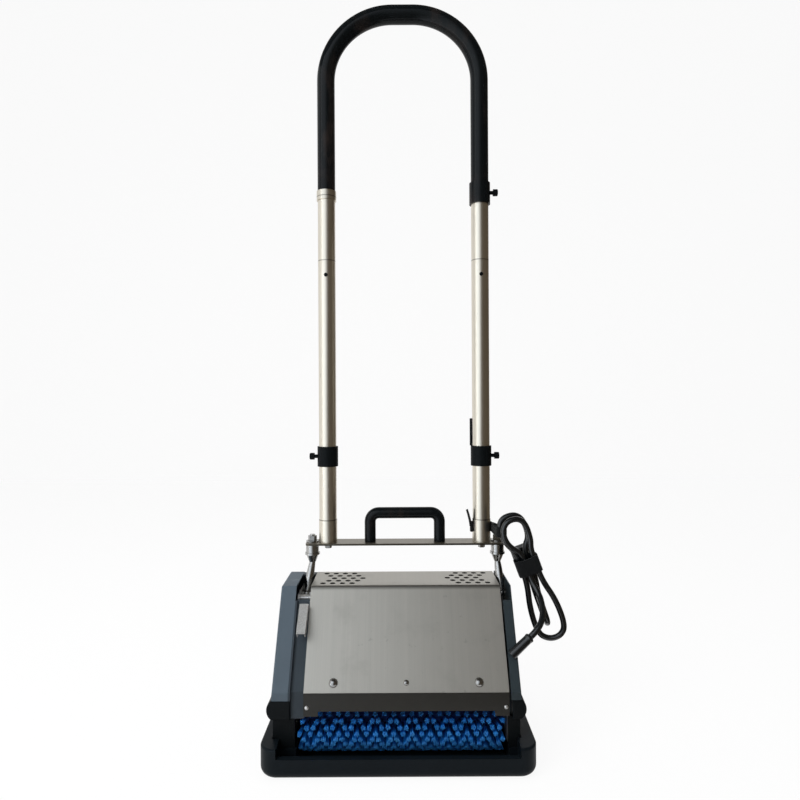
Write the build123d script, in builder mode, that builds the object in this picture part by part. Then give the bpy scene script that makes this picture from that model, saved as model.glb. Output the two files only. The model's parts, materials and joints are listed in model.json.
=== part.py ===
from build123d import *
import os
from math import asin, atan2, cos, hypot, pi, radians, sin, tan

# Compact carpet cleaning machine with two brushes that turn against each other,
# parked in its moulded transport tray.
# Millimetres. X runs to the right, Y to the rear, Z up.
# The origin is the middle of the tray's underside.

os.makedirs("parts", exist_ok=True)

# Hood: a folded sheet with two slopes and a flat top
core_middle = 11.5
hood_width = 287.0
hood_base_half = 116.0
hood_top_half = 38.0
hood_base_height = 110.0
hood_height = 126.0
hood_sheet = 1.5
hood_bend_radius = 3.0
vent_hole_radius = 4.4
vent_pitch = 15.0
vent_row_pitch = 13.0
vent_rows = 5
vent_holes_in_row = 4
vent_group_reach = 127.0

# Lip strips and their screws
lip_height = 25.0
lip_sheet = 1.2
lip_tab_width = 20.0
lip_tab_drop = 7.0
lip_screw_radius = 3.0
lip_screw_head = 2.0
lip_screw_edge = 4.5
lip_screw_rise = 12.0

# Screws on the hood's slopes
dome_screw_radius = 6.4
dome_screw_head = 4.4
dome_screw_rise = 11.0
dome_screw_reach = 102.5
centre_screw_radius = 4.0
centre_screw_head = 2.6

# End plates and the tie rods between them
leg_channel = 19.0
plate_thickness = 3.0
plate_inset = 16.0
plate_end_gap = 17.0
tie_rod_radius = 5.0
tie_rod_low_inset = 32.0
tie_rod_low_rise = 2.0
tie_rod_high_inset = 14.0
tie_rod_high_drop = 23.0
rod_clearance = 0.2

# Side covers, skirts and corner bumpers
cover_wall = 3.0
thin_wall = 2.0
drive_case_depth = 23.0
right_cover_depth = 14.0
cover_edge_radius = 2.5
cover_drop = 38.0
bumper_drop = 11.0
bumper_depth = 16.0
bumper_side_length = 56.0
bumper_bulge = 7.5
bumper_edge_radius = 2.0
band_setback = 5.0
band_thickness = 4.0
slot_depth = 20.0
slot_front_margin = 14.0
slot_rear_margin = 16.0
skirt_bottom = 28.0
skirt_end_gap = 10.0
skirt_wall = 3.0
skirt_end_wall = 5.0
skirt_end_reach = 5.0
cover_screw_radius = 4.0
cover_screw_head = 2.0

# Transport tray
tray_floor = 2.5
tray_height = 42.0
tray_end_cut = 13.0
tray_end_wall = 9.0
tray_end_gap = 11.0
tray_rim = 14.0
tray_inner_step = 11.0
tray_corner_radius = 25.0
tray_bottom_radius = 12.0
tray_rim_radius = 3.0
foot_clearance = 1.5

# Brushes
brush_radius = 50.0
brush_axis_inset = 56.0
brush_axis_rise = 26.0
brush_core_radius = 24.0
brush_backing = 2.0
brush_end_gap = 11.0
brush_right_gap = 2.0
brush_shaft_radius = 6.0
tuft_rows = 14
tufts_in_row = 17
tuft_side = 4.0
tuft_end_margin = 5.0
bearing_radius = 12.0
bearing_width = 6.0
bearing_running_gap = 0.05
bearing_seat_gap = 0.02

# Belt drive inside the left case
motor_axis_rise = 55.0
motor_radius = 42.0
motor_nose_radius = 30.0
motor_length = 176.0
motor_nose_gap = 6.0
motor_shaft_radius = 5.0
motor_pulley_radius = 12.0
brush_pulley_radius = 17.0
idler_radius = 7.0
idler_reach = 28.0
idler_drop = 8.0
idler_stud_radius = 3.0
idler_head_radius = 5.0
idler_head = 1.5
pulley_width = 11.0
pulley_gap = 2.2
belt_width = 9.0
belt_thickness = 3.0
belt_gap = 0.3

# Debris trays over the brushes
debris_tray_rise = 10.0
debris_tray_depth = 45.0
debris_tray_inset = 52.0
debris_tray_sheet = 1.5
debris_tray_end_gap = 6.0

# Switch on the rear slope
switch_reach = 88.5
switch_rise = 68.0
bezel_width = 26.0
bezel_length = 36.0
bezel_thickness = 3.0
rocker_width = 15.0
rocker_radius = 12.4
rocker_gap = 0.6
rocker_rise = 5.5
rocker_tilt = 10.0
rocker_pin_radius = 1.5

# Handle release lever on the left
lever_side_gap = 0.5
lever_width = 13.0
lever_sheet = 1.8
lever_flange = 8.0
lever_pin_drop = 27.5
lever_pin_stand = 7.8
lever_pin_radius = 2.0
lever_pin_gap = 0.05
lever_foot_reach = 29.2
lever_foot_drop = 27.5
lever_lug_gap = 1.2

# Handle yoke
pivot_y = 0.0
pivot_drop = 24.0
pivot_pin_radius = 3.0
pivot_head_radius = 6.0
pivot_head = 2.5
pivot_running_gap = 0.05
leg_ball_radius = 5.6
leg_overhang = 6.0
leg_ball_gap = 0.6
leg_neck_radius = 3.8
leg_swell_radius = 6.2
handle_y = 19.5
yoke_rise = 75.0
yoke_plate_depth = 35.0
yoke_plate_thickness = 3.0
yoke_plate_end = 9.2
yoke_plate_corner = 6.0
collar_length = 29.0
collar_flange_drop = 17.0
collar_flange_radius = 12.0
collar_neck_radius = 10.4
collar_bottom_radius = 5.4
collar_washer = 3.0
stud_radius = 4.0
stud_rise = 12.0
nut_radius = 7.0
nut_height = 8.0
nut_washer_radius = 10.0
nut_washer = 2.0
thread_gap = 0.1

# Tubes, grip and carry handle
tube_inset = 25.5
tube_radius = 14.0
tube_wall = 1.5
tube_fit = 0.15
socket_radius = 14.6
socket_height = 36.0
socket_spigot = 24.0
tube_bolt_radius = 4.0
tube_bolt_head_radius = 5.6
tube_bolt_head = 7.0
tube_bolt_reach = 18.0
tube_joint_rise = 453.0
joint_spigot = 45.0
upper_tube_length = 107.0
grip_radius = 14.2
grip_wall = 2.0
grip_spigot = 30.0
grip_crown = 33.0
grip_rise = 306.0
ferrule_radius = 15.8
ferrule_below = 9.5
ferrule_above = 5.5
grip_collar_radius = 16.8
grip_collar_below = 16.0
grip_collar_above = 18.0
sleeve_fit = 0.1
carry_spacing = 112.0
carry_radius = 9.0
carry_height = 55.0
carry_bend_radius = 14.0

# Collars, thumb knobs, snap buttons and the cord hook
hook_collar_rise = 122.0
hook_collar_height = 32.0
hook_collar_radius = 16.6
knob_stem_radius = 3.0
knob_stem = 5.0
knob_head_radius = 5.5
knob_head = 7.5
knob_seat_gap = 0.3
knob_running_gap = 0.05
grip_knob_rise = 3.0
button_drop = 24.0
button_radius = 3.0
button_gap = 0.08
button_proud = 1.6
button_flange_radius = 4.5
button_flange = 1.2
hook_bar_radius = 2.0
hook_bar_turn = 12.0
hook_bar_height = 44.0

# Power cord
cord_diameter = 9.0
boot_inset = 5.0
boot_rise = 41.0
boot_length = 38.0
boot_base_radius = 7.2
boot_tip_radius = 6.4
boot_direction = (0.75, 0.1, 0.655)
waist_reach = 30.0
waist_forward = 47.5
waist_drop = 28.0
hank_tilt = 20.0
hank_step = 7.6
hank_straight = 15.0
left_strand_depth = 7.2
tail_strand_depth = 9.8
hank_lead_in = (-0.05, 0.8, 0.6)
boot_pull = 22.0
hank_pull = 10.0
stretch_runs = 4
wrap_height = 25.0
wrap_corner_radius = 6.0
wrap_wall = 2.2
wrap_gap = 0.6
plug_width = 30.0
plug_height = 30.0
plug_depth = 22.0
plug_edge_radius = 5.0
plug_neck_radius = 7.0
plug_neck = 10.0
plug_pin_radius = 2.4
plug_pin_length = 19.0
plug_pin_spacing = 19.0
strap_rise = 15.0
strap_width = 16.0
strap_wall = 1.5
strap_gap = 0.4
strap_slack = 1.9
strap_wrap = 205.0
strap_fold_turn = 186.0
strap_fold_radius = 2.6

# Places that follow from the sizes above
hood_top_height = hood_base_height + hood_height
dome_screw_height = hood_base_height + dome_screw_rise
plate_half_depth = hood_base_half - plate_end_gap
tie_rod_low = (hood_base_half - tie_rod_low_inset, hood_base_height + tie_rod_low_rise)
tie_rod_high = (hood_top_half - tie_rod_high_inset, hood_top_height - tie_rod_high_drop)
cover_bottom = hood_base_height - cover_drop
bumper_top = hood_base_height - bumper_drop
slot_bottom = hood_top_height - slot_depth
slot_front = hood_top_half + slot_front_margin
slot_rear = hood_top_half - slot_rear_margin
skirt_half_depth = hood_base_half - skirt_end_gap
brush_axis_y = hood_base_half - brush_axis_inset
brush_axis_height = skirt_bottom + brush_axis_rise
leg_reach = hood_width / 2 + leg_overhang
tube_spacing = 2 * (leg_reach - tube_inset)
grip_bend_radius = (tube_spacing - grip_crown) / 2
motor_axis_height = hood_base_height + motor_axis_rise
idler_y = brush_axis_y + idler_reach
idler_height = brush_axis_height - idler_drop
debris_tray_bottom = hood_base_height + debris_tray_rise
debris_tray_top = debris_tray_bottom + debris_tray_depth
debris_tray_inner = hood_base_half - debris_tray_inset
switch_x = core_middle + switch_reach
switch_height = hood_base_height + switch_rise
pivot_height = hood_top_height - pivot_drop
plate_height = pivot_height + yoke_rise
plate_top = plate_height + yoke_plate_thickness
collar_bottom = plate_height - collar_length
collar_flange_height = plate_height - collar_flange_drop
stud_top = plate_top + stud_rise
tube_joint_height = plate_top + tube_joint_rise
grip_start = tube_joint_height + upper_tube_length
grip_top = grip_start + grip_rise
hook_collar_bottom = plate_top + hook_collar_rise
grip_knob_height = grip_start + grip_knob_rise
boot_height = hood_base_height + boot_rise
waist_y = handle_y - waist_forward
waist_height = plate_top - waist_drop
strap_bottom = plate_top + strap_rise
tray_end_height = tray_height - tray_end_cut
hood_left = core_middle - hood_width / 2
hood_right = core_middle + hood_width / 2
drive_plate_inner = hood_left - leg_channel
drive_plate_outer = drive_plate_inner - plate_thickness
drive_case_outer = drive_plate_outer - drive_case_depth
bearing_plate_outer = hood_right + plate_thickness
right_cover_outer = bearing_plate_outer + right_cover_depth
boot_x = bearing_plate_outer + boot_inset
waist_x = right_cover_outer + waist_reach
lever_x = hood_left - lever_side_gap - lever_width / 2
slope_run = hood_base_half - hood_top_half
slope_rise = hood_top_height - hood_base_height
slope_length = hypot(slope_run, slope_rise)
tray_half_width = -drive_case_outer + foot_clearance + tray_rim
tray_half_depth = hood_base_half + tray_end_gap + tray_end_wall
brush_left = drive_plate_inner + brush_end_gap
brush_right = hood_right - brush_right_gap
left_ball_x = drive_plate_inner + leg_ball_radius + leg_ball_gap
right_ball_x = bearing_plate_outer + leg_ball_radius + leg_ball_gap
left_leg_x = core_middle - leg_reach
right_leg_x = core_middle + leg_reach
left_tube_x = core_middle - tube_spacing / 2
right_tube_x = core_middle + tube_spacing / 2
pulley_left = drive_plate_outer - pulley_gap - pulley_width
FRONT = -1
REAR = 1


def slope_y(height, inset=0.0):
    """Distance from the middle to a line inset square to the hood's slope, at a height."""
    shift = inset * slope_length / slope_rise
    return hood_base_half - shift - (height - hood_base_height) * slope_run / slope_rise


def slope_height(y, inset=0.0):
    """Height at which that inset line is y from the middle."""
    shift = inset * slope_length / slope_rise
    return hood_base_height + (hood_base_half - shift - y) * slope_rise / slope_run


def slope_plane(x, height, side, lift=0.0):
    """Plane on the front or rear slope, its Z square out of the sheet."""
    normal = Vector(0, side * slope_rise, slope_run).normalized()
    return Plane(Vector(x, side * slope_y(height), height) + normal * lift, x_dir=(1, 0, 0), z_dir=normal)


def house_outline(inset, half_depth, bottom):
    """Side outline: straight walls, then both slopes and the flat top, inset alike."""
    top = hood_top_height - inset
    eaves = slope_height(half_depth, inset)
    ridge = slope_y(top, inset)
    return [
        (-half_depth, bottom),
        (-half_depth, eaves),
        (-ridge, top),
        (ridge, top),
        (half_depth, eaves),
        (half_depth, bottom),
    ]


def side_prism(points, x_from, x_to, mode=Mode.ADD):
    """Extrude a closed outline of (Y, Z) points from one X to another."""
    with BuildSketch(Plane.YZ.offset(x_from)) as outline:
        with BuildLine():
            Polyline(*points, close=True)
        make_face()
    extrude(outline.sketch, amount=x_to - x_from, mode=mode)


def block(x_range, y_range, z_range, mode=Mode.ADD):
    """Box between two values on each axis."""
    middle = [sum(span) / 2 for span in (x_range, y_range, z_range)]
    size = [abs(span[1] - span[0]) for span in (x_range, y_range, z_range)]
    with Locations(tuple(middle)):
        Box(*size, mode=mode)


def rod(origin, direction, radius, length, mode=Mode.ADD):
    """Cylinder from a point along a direction."""
    with Locations(Plane(origin, z_dir=direction)):
        Cylinder(radius, length, align=(Align.CENTER, Align.CENTER, Align.MIN), mode=mode)


def rod_x(x_from, x_to, y, z, radius, mode=Mode.ADD):
    """Cylinder along X between two values of X."""
    rod((x_from, y, z), (1, 0, 0), radius, x_to - x_from, mode)


def rod_z(x, y, z_from, z_to, radius, mode=Mode.ADD):
    """Upright cylinder between two heights."""
    rod((x, y, z_from), (0, 0, 1), radius, z_to - z_from, mode)


# Transport tray: outer block, cut-down end walls, well for the brushes and ledges for the skirts
tray_well_half = tray_half_width - tray_rim - tray_inner_step
ledge_half_depth = skirt_half_depth + foot_clearance
left_recess = drive_case_outer - foot_clearance
right_recess = right_cover_outer + foot_clearance
left_ledge_inner = brush_left - 2 * brush_right_gap
right_ledge_inner = hood_right + foot_clearance
with BuildPart() as transport_tray:
    Box(
        2 * tray_half_width,
        2 * tray_half_depth,
        tray_height,
        align=(Align.CENTER, Align.CENTER, Align.MIN),
    )
    fillet(transport_tray.edges().filter_by(Axis.Z), tray_corner_radius)
    fillet(transport_tray.faces().sort_by(Axis.Z)[0].edges(), tray_bottom_radius)
    fillet(transport_tray.faces().sort_by(Axis.Z)[-1].edges(), tray_rim_radius)
    block(
        (-tray_well_half, tray_well_half),
        (-2 * tray_half_depth, 2 * tray_half_depth),
        (tray_end_height, 2 * tray_height),
        mode=Mode.SUBTRACT,
    )
    well_half_depth = tray_half_depth - tray_end_wall
    block(
        (-tray_well_half, tray_well_half),
        (-well_half_depth, well_half_depth),
        (tray_floor, tray_height),
        mode=Mode.SUBTRACT,
    )
    for recess, ledge_inner in ((left_recess, left_ledge_inner), (right_recess, right_ledge_inner)):
        rim_inner = tray_well_half if recess > 0 else -tray_well_half
        block(
            (recess, rim_inner),
            (-ledge_half_depth, ledge_half_depth),
            (skirt_bottom, 2 * tray_height),
            mode=Mode.SUBTRACT,
        )
        block((rim_inner, ledge_inner), (-ledge_half_depth, ledge_half_depth), (0, skirt_bottom))
transport_tray.part.label = "transport_tray"
export_step(transport_tray.part, "parts/transport_tray.step")


# End plates: bored for the brush bearings, the tie rods, the motor and the handle's pivot pins
rod_places = []
for rod_y, rod_height in (tie_rod_low, tie_rod_high):
    rod_places += [(-rod_y, rod_height), (rod_y, rod_height)]
plate_bottom = skirt_bottom + skirt_wall
pivot_bore = pivot_pin_radius + thread_gap


def end_plate(x_from, x_to):
    """House-shaped plate with the bores that both ends share."""
    side_prism(house_outline(plate_inset, plate_half_depth, plate_bottom), x_from, x_to)
    for brush_y in (-brush_axis_y, brush_axis_y):
        rod_x(x_from, x_to, brush_y, brush_axis_height, bearing_radius + bearing_seat_gap, Mode.SUBTRACT)
    rod_x(x_from, x_to, pivot_y, pivot_height, pivot_bore, Mode.SUBTRACT)


with BuildPart() as drive_plate:
    end_plate(drive_plate_outer, drive_plate_inner)
    shaft_bore = 2 * motor_shaft_radius
    rod_x(drive_plate_outer, drive_plate_inner, 0, motor_axis_height, shaft_bore, Mode.SUBTRACT)
drive_plate.part.label = "drive_plate"
export_step(drive_plate.part, "parts/drive_plate.step")

with BuildPart() as bearing_plate:
    end_plate(hood_right, bearing_plate_outer)
bearing_plate.part.label = "bearing_plate"
export_step(bearing_plate.part, "parts/bearing_plate.step")

with BuildPart() as tie_rods:
    for rod_y, rod_height in rod_places:
        rod_x(drive_plate_inner, hood_right, rod_y, rod_height, tie_rod_radius)
tie_rods.part.label = "tie_rods"
export_step(tie_rods.part, "parts/tie_rods.step")


# Hood: folded sheet with closed ends, vent holes, a switch window and holes for what passes its ends
def hood_outline(inset):
    """Four corners of the hood's section, inset by a sheet's thickness."""
    top = hood_top_height - inset
    base = hood_base_height
    return [
        (-slope_y(base, inset), base),
        (-slope_y(top, inset), top),
        (slope_y(top, inset), top),
        (slope_y(base, inset), base),
    ]


def vent_places():
    """Centres of both groups of vent holes: rows staggered as a chevron, mirrored on the right."""
    places = []
    for row in range(vent_rows):
        from_middle_row = abs(row - (vent_rows - 1) / 2)
        stagger = ((vent_rows - 1) / 2 - from_middle_row) * vent_pitch / 2
        row_y = (row - (vent_rows - 1) / 2) * vent_row_pitch
        for hole in range(vent_holes_in_row):
            reach = vent_group_reach - stagger - hole * vent_pitch
            places += [(core_middle - reach, row_y), (core_middle + reach, row_y)]
    return places


with BuildPart() as hood:
    side_prism(hood_outline(0), hood_left, hood_right)
    ridges = hood.edges().filter_by(Axis.X).group_by(Axis.Z)[-1]
    fillet(ridges, hood_bend_radius + hood_sheet)
    side_prism(hood_outline(hood_sheet), hood_left + hood_sheet, hood_right - hood_sheet, Mode.SUBTRACT)
    with Locations(*[(x, y, hood_top_height - 2 * hood_sheet) for x, y in vent_places()]):
        Cylinder(
            vent_hole_radius,
            4 * hood_sheet,
            align=(Align.CENTER, Align.CENTER, Align.MIN),
            mode=Mode.SUBTRACT,
        )
    for rod_y, rod_height in rod_places:
        rod_hole = tie_rod_radius + rod_clearance
        rod_x(hood_left - 1, hood_right + 1, rod_y, rod_height, rod_hole, Mode.SUBTRACT)
    rod_x(hood_left - 1, hood_right + 1, pivot_y, pivot_height, pivot_bore, Mode.SUBTRACT)
    nose_hole = motor_nose_radius + rod_clearance
    rod_x(hood_left - 1, hood_left + 2 * hood_sheet, 0, motor_axis_height, nose_hole, Mode.SUBTRACT)
    with Locations(slope_plane(switch_x, switch_height, REAR)):
        Box(
            rocker_width + 2 * rocker_gap,
            2 * (rocker_radius + rocker_gap),
            6 * hood_sheet,
            mode=Mode.SUBTRACT,
        )
hood.part.label = "hood"
export_step(hood.part, "parts/hood.step")


# Lip strips under the hood's front and rear edges, with a tab at each end
with BuildPart() as lip_strips:
    lip_bottom = hood_base_height - lip_height
    for side in (FRONT, REAR):
        lip_y = (side * hood_base_half, side * (hood_base_half + lip_sheet))
        block((hood_left, hood_right), lip_y, (lip_bottom, hood_base_height))
        for tab_x in (hood_left, hood_right - lip_tab_width):
            block((tab_x, tab_x + lip_tab_width), lip_y, (lip_bottom - lip_tab_drop, lip_bottom))
lip_strips.part.label = "lip_strips"
export_step(lip_strips.part, "parts/lip_strips.step")


def dome(seat, radius, height):
    """Round-headed screw: a cap of a sphere that stands on a plane."""
    ball = (radius**2 + height**2) / (2 * height)
    half_angle = atan2(radius, ball - height) / 2
    with BuildSketch(Plane(seat.origin, x_dir=seat.x_dir, z_dir=-seat.y_dir)) as profile:
        with BuildLine():
            Line((0, 0), (radius, 0))
            ThreePointArc(
                (radius, 0),
                (ball * sin(half_angle), height - ball + ball * cos(half_angle)),
                (0, height),
            )
            Line((0, height), (0, 0))
        make_face()
    revolve(profile.sketch, axis=Axis(seat.origin, seat.z_dir))


with BuildPart() as lip_screws:
    lip_screw_z = lip_bottom - lip_tab_drop + lip_screw_rise
    for side in (FRONT, REAR):
        lip_face = side * (hood_base_half + lip_sheet)
        for screw_x in (hood_left + lip_screw_edge, hood_right - lip_screw_edge):
            dome(
                Plane((screw_x, lip_face, lip_screw_z), x_dir=(1, 0, 0), z_dir=(0, side, 0)),
                lip_screw_radius,
                lip_screw_head,
            )
lip_screws.part.label = "lip_screws"
export_step(lip_screws.part, "parts/lip_screws.step")

with BuildPart() as hood_screws:
    for side in (FRONT, REAR):
        for screw_x in (core_middle - dome_screw_reach, core_middle + dome_screw_reach):
            dome(slope_plane(screw_x, dome_screw_height, side), dome_screw_radius, dome_screw_head)
        dome(slope_plane(core_middle, dome_screw_height, side), centre_screw_radius, centre_screw_head)
hood_screws.part.label = "hood_screws"
export_step(hood_screws.part, "parts/hood_screws.step")


# Side covers: outer shells over the drive and the right end, with the leg slots in their tops
def cover_outline():
    """Outer outline of a side cover, cut back at its lower corners for the bumpers."""
    ridge = hood_top_half
    corner = hood_base_half - bumper_depth
    return [
        (-corner, cover_bottom),
        (-corner, bumper_top),
        (-hood_base_half, bumper_top),
        (-hood_base_half, hood_base_height),
        (-ridge, hood_top_height),
        (ridge, hood_top_height),
        (hood_base_half, hood_base_height),
        (hood_base_half, bumper_top),
        (corner, bumper_top),
        (corner, cover_bottom),
    ]


def slope_band(side, top, x_from, x_to, inset, thickness):
    """Strip that lies parallel to a slope, below its surface, down to the hood's edge."""
    outer = [(side * slope_y(z, inset), z) for z in (hood_base_height, top)]
    inner = [(side * slope_y(z, inset + thickness), z) for z in (top, hood_base_height)]
    side_prism(outer + inner, x_from, x_to)


cavity_half = hood_base_half - bumper_depth - cover_wall
band_right = hood_left - bearing_running_gap * 2
web_left = drive_plate_outer - cover_wall
web_right = drive_plate_outer + cover_wall
with BuildPart() as drive_case:
    side_prism(cover_outline(), drive_case_outer, drive_plate_outer)
    outer_rim = drive_case.faces().sort_by(Axis.X)[0].edges().sort_by(Axis.Z)[-3:]
    fillet(outer_rim, cover_edge_radius)
    side_prism(
        house_outline(cover_wall, cavity_half, cover_bottom),
        drive_case_outer + cover_wall,
        drive_plate_outer,
        Mode.SUBTRACT,
    )
    for side, band_top in ((FRONT, slot_bottom), (REAR, hood_top_height - cover_wall)):
        web_depth = band_setback + band_thickness
        slope_band(side, band_top, web_left, web_right, 0, web_depth)
        slope_band(side, band_top, web_right, band_right, band_setback, band_thickness)
        apron_face = slope_y(hood_base_height, band_setback)
        apron = (side * (apron_face - thin_wall), side * apron_face)
        block((web_right, band_right), apron, (cover_bottom, hood_base_height))
        block((web_left, web_right), (apron[0], side * hood_base_half), (bumper_top, hood_base_height))
    roof = (hood_top_height - cover_wall, hood_top_height)
    block((drive_plate_outer, band_right), (slot_rear, hood_top_half - hood_bend_radius), roof)
drive_case.part.label = "drive_case"
export_step(drive_case.part, "parts/drive_case.step")

with BuildPart() as right_cover:
    side_prism(cover_outline(), bearing_plate_outer, right_cover_outer)
    outer_rim = right_cover.faces().sort_by(Axis.X)[-1].edges().sort_by(Axis.Z)[-3:]
    fillet(outer_rim, thin_wall * 0.9)
    side_prism(
        house_outline(cover_wall, cavity_half, cover_bottom),
        bearing_plate_outer,
        right_cover_outer - thin_wall,
        Mode.SUBTRACT,
    )
    block(
        (bearing_plate_outer, right_cover_outer - thin_wall),
        (-slot_front, slot_rear),
        (slot_bottom, 2 * hood_top_height),
        mode=Mode.SUBTRACT,
    )
right_cover.part.label = "right_cover"
export_step(right_cover.part, "parts/right_cover.step")


# Skirts: black boxes below the covers that stand on the tray's ledges and close off the brush ends
def skirt(outer_x, plate_x, end_inner_x):
    """Open-topped box outside an end plate, with its end walls carried inwards past the plate."""
    inner_wall = outer_x + skirt_wall if outer_x < plate_x else outer_x - skirt_wall
    span = (min(outer_x, plate_x), max(outer_x, plate_x))
    block(span, (-skirt_half_depth, skirt_half_depth), (skirt_bottom, cover_bottom))
    hollow = (min(inner_wall, plate_x), max(inner_wall, plate_x))
    hollow_half = skirt_half_depth - skirt_wall
    block(
        hollow,
        (-hollow_half, hollow_half),
        (skirt_bottom + skirt_wall, cover_bottom),
        mode=Mode.SUBTRACT,
    )
    for side in (FRONT, REAR):
        ends = (side * (skirt_half_depth - skirt_end_wall), side * skirt_half_depth)
        block((outer_x, end_inner_x), ends, (skirt_bottom, cover_bottom))


with BuildPart() as drive_skirt:
    skirt(drive_case_outer, drive_plate_outer, drive_plate_inner + skirt_end_reach)
drive_skirt.part.label = "drive_skirt"
export_step(drive_skirt.part, "parts/drive_skirt.step")

with BuildPart() as right_skirt:
    skirt(right_cover_outer, bearing_plate_outer, hood_right)
right_skirt.part.label = "right_skirt"
export_step(right_skirt.part, "parts/right_skirt.step")


# Corner bumpers: bulged blocks on the covers' lower corners, wrapped a little way along the sides
def bumper(outer_x, inner_x, side):
    """Block with a bulged outer face, cut back where it lies along the cover's flank."""
    outward = -1 if outer_x < inner_x else 1
    bulge_x = outer_x + outward * bumper_bulge
    middle = (cover_bottom + bumper_top) / 2
    front_y = side * hood_base_half
    with BuildSketch(Plane((0, front_y, 0), x_dir=(1, 0, 0), z_dir=(0, -1, 0))) as outline:
        with BuildLine():
            Polyline(
                (outer_x + outward, cover_bottom),
                (inner_x, cover_bottom),
                (inner_x, bumper_top),
                (outer_x + outward, bumper_top),
            )
            ThreePointArc(
                (outer_x + outward, cover_bottom),
                (bulge_x, middle),
                (outer_x + outward, bumper_top),
            )
        make_face()
    extrude(outline.sketch, amount=side * bumper_side_length)
    cut_from = side * (hood_base_half - bumper_depth)
    cut_to = side * (hood_base_half - 2 * bumper_side_length)
    block((outer_x, inner_x), (cut_from, cut_to), (cover_bottom, bumper_top), mode=Mode.SUBTRACT)


left_bumper_inner = web_right
right_bumper_inner = bearing_plate_outer + thin_wall
with BuildPart() as corner_bumpers:
    for side in (FRONT, REAR):
        bumper(drive_case_outer, left_bumper_inner, side)
        bumper(right_cover_outer, right_bumper_inner, side)
    ends = corner_bumpers.faces().sort_by(Axis.Y)
    for end_face in ends[:2] + ends[-2:]:
        fillet(end_face.edges(), bumper_edge_radius)
corner_bumpers.part.label = "corner_bumpers"
export_step(corner_bumpers.part, "parts/corner_bumpers.step")

with BuildPart() as cover_screws:
    low_screw = cover_bottom + 2 * cover_screw_radius
    high_screw = hood_top_height - 4 * cover_screw_radius
    for outward, flank_x in ((-1, drive_case_outer), (1, right_cover_outer)):
        for screw_y, screw_z in (
            (-hood_top_half, low_screw),
            (hood_top_half, low_screw),
            (-hood_top_half * 0.7, high_screw),
            (hood_top_half * 0.7, high_screw),
        ):
            dome(
                Plane((flank_x, screw_y, screw_z), x_dir=(0, 1, 0), z_dir=(outward, 0, 0)),
                cover_screw_radius,
                cover_screw_head,
            )
cover_screws.part.label = "cover_screws"
export_step(cover_screws.part, "parts/cover_screws.step")


# Brushes: a core on a shaft, bristle tufts on a thin backing, and a drive pulley
pulley_right = pulley_left + pulley_width
right_shaft_end = bearing_plate_outer + bearing_width / 2


def tuft_places(brush_y):
    """Radial places of the tufts: rows round the core, each shifted a third of a pitch on the last."""
    places = []
    usable = brush_right - brush_left - 2 * tuft_end_margin
    pitch = usable / tufts_in_row
    for row in range(tuft_rows):
        turn = 2 * pi * row / tuft_rows
        outward = Vector(0, cos(turn), sin(turn))
        shift = (row % 3 + 0.5) / 3 * pitch
        for tuft in range(tufts_in_row):
            foot = Vector(brush_left + tuft_end_margin + shift + tuft * pitch, brush_y, brush_axis_height)
            foot = foot + outward * (brush_core_radius - brush_backing / 2)
            places.append(Plane(foot, x_dir=(1, 0, 0), z_dir=outward))
    return places


for brush_name, brush_y in (("front", -brush_axis_y), ("rear", brush_axis_y)):
    with BuildPart() as brush_core:
        core_radius = brush_core_radius - brush_backing
        rod_x(brush_left, brush_right, brush_y, brush_axis_height, core_radius)
        rod_x(pulley_left, right_shaft_end, brush_y, brush_axis_height, brush_shaft_radius)
    brush_core.part.label = f"{brush_name}_brush_core"
    export_step(brush_core.part, f"parts/{brush_name}_brush_core.step")

    with BuildPart() as brush_bristles:
        rod_x(brush_left, brush_right, brush_y, brush_axis_height, brush_core_radius)
        rod_x(brush_left, brush_right, brush_y, brush_axis_height, core_radius, Mode.SUBTRACT)
        with Locations(*tuft_places(brush_y)):
            Box(
                tuft_side,
                tuft_side,
                brush_radius - brush_core_radius + brush_backing / 2,
                align=(Align.CENTER, Align.CENTER, Align.MIN),
            )
    brush_bristles.part.label = f"{brush_name}_brush_bristles"
    export_step(brush_bristles.part, f"parts/{brush_name}_brush_bristles.step")

    with BuildPart() as brush_pulley:
        rod_x(pulley_left, pulley_right, brush_y, brush_axis_height, brush_pulley_radius)
        rod_x(pulley_left, pulley_right, brush_y, brush_axis_height, brush_shaft_radius, Mode.SUBTRACT)
    brush_pulley.part.label = f"{brush_name}_brush_pulley"
    export_step(brush_pulley.part, f"parts/{brush_name}_brush_pulley.step")

with BuildPart() as brush_bearings:
    bearing_bore = brush_shaft_radius + bearing_running_gap
    drive_plate_middle = (drive_plate_outer + drive_plate_inner) / 2
    for plate_middle in (drive_plate_middle, (hood_right + bearing_plate_outer) / 2):
        for brush_y in (-brush_axis_y, brush_axis_y):
            bearing_from = plate_middle - bearing_width / 2
            bearing_to = plate_middle + bearing_width / 2
            rod_x(bearing_from, bearing_to, brush_y, brush_axis_height, bearing_radius)
            rod_x(bearing_from, bearing_to, brush_y, brush_axis_height, bearing_bore, Mode.SUBTRACT)
brush_bearings.part.label = "brush_bearings"
export_step(brush_bearings.part, "parts/brush_bearings.step")


# Motor on the drive plate, its shaft and pulley, the idler and the double-sided belt
nose_right = hood_left + hood_sheet + motor_nose_gap
motor_bore = motor_shaft_radius + bearing_running_gap
shaft_inside = nose_right + motor_length * 0.8
with BuildPart() as motor_body:
    rod_x(drive_plate_inner, nose_right, 0, motor_axis_height, motor_nose_radius)
    rod_x(nose_right, nose_right + motor_length, 0, motor_axis_height, motor_radius)
    rod_x(drive_plate_inner, shaft_inside, 0, motor_axis_height, motor_bore, Mode.SUBTRACT)
motor_body.part.label = "motor_body"
export_step(motor_body.part, "parts/motor_body.step")

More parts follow.
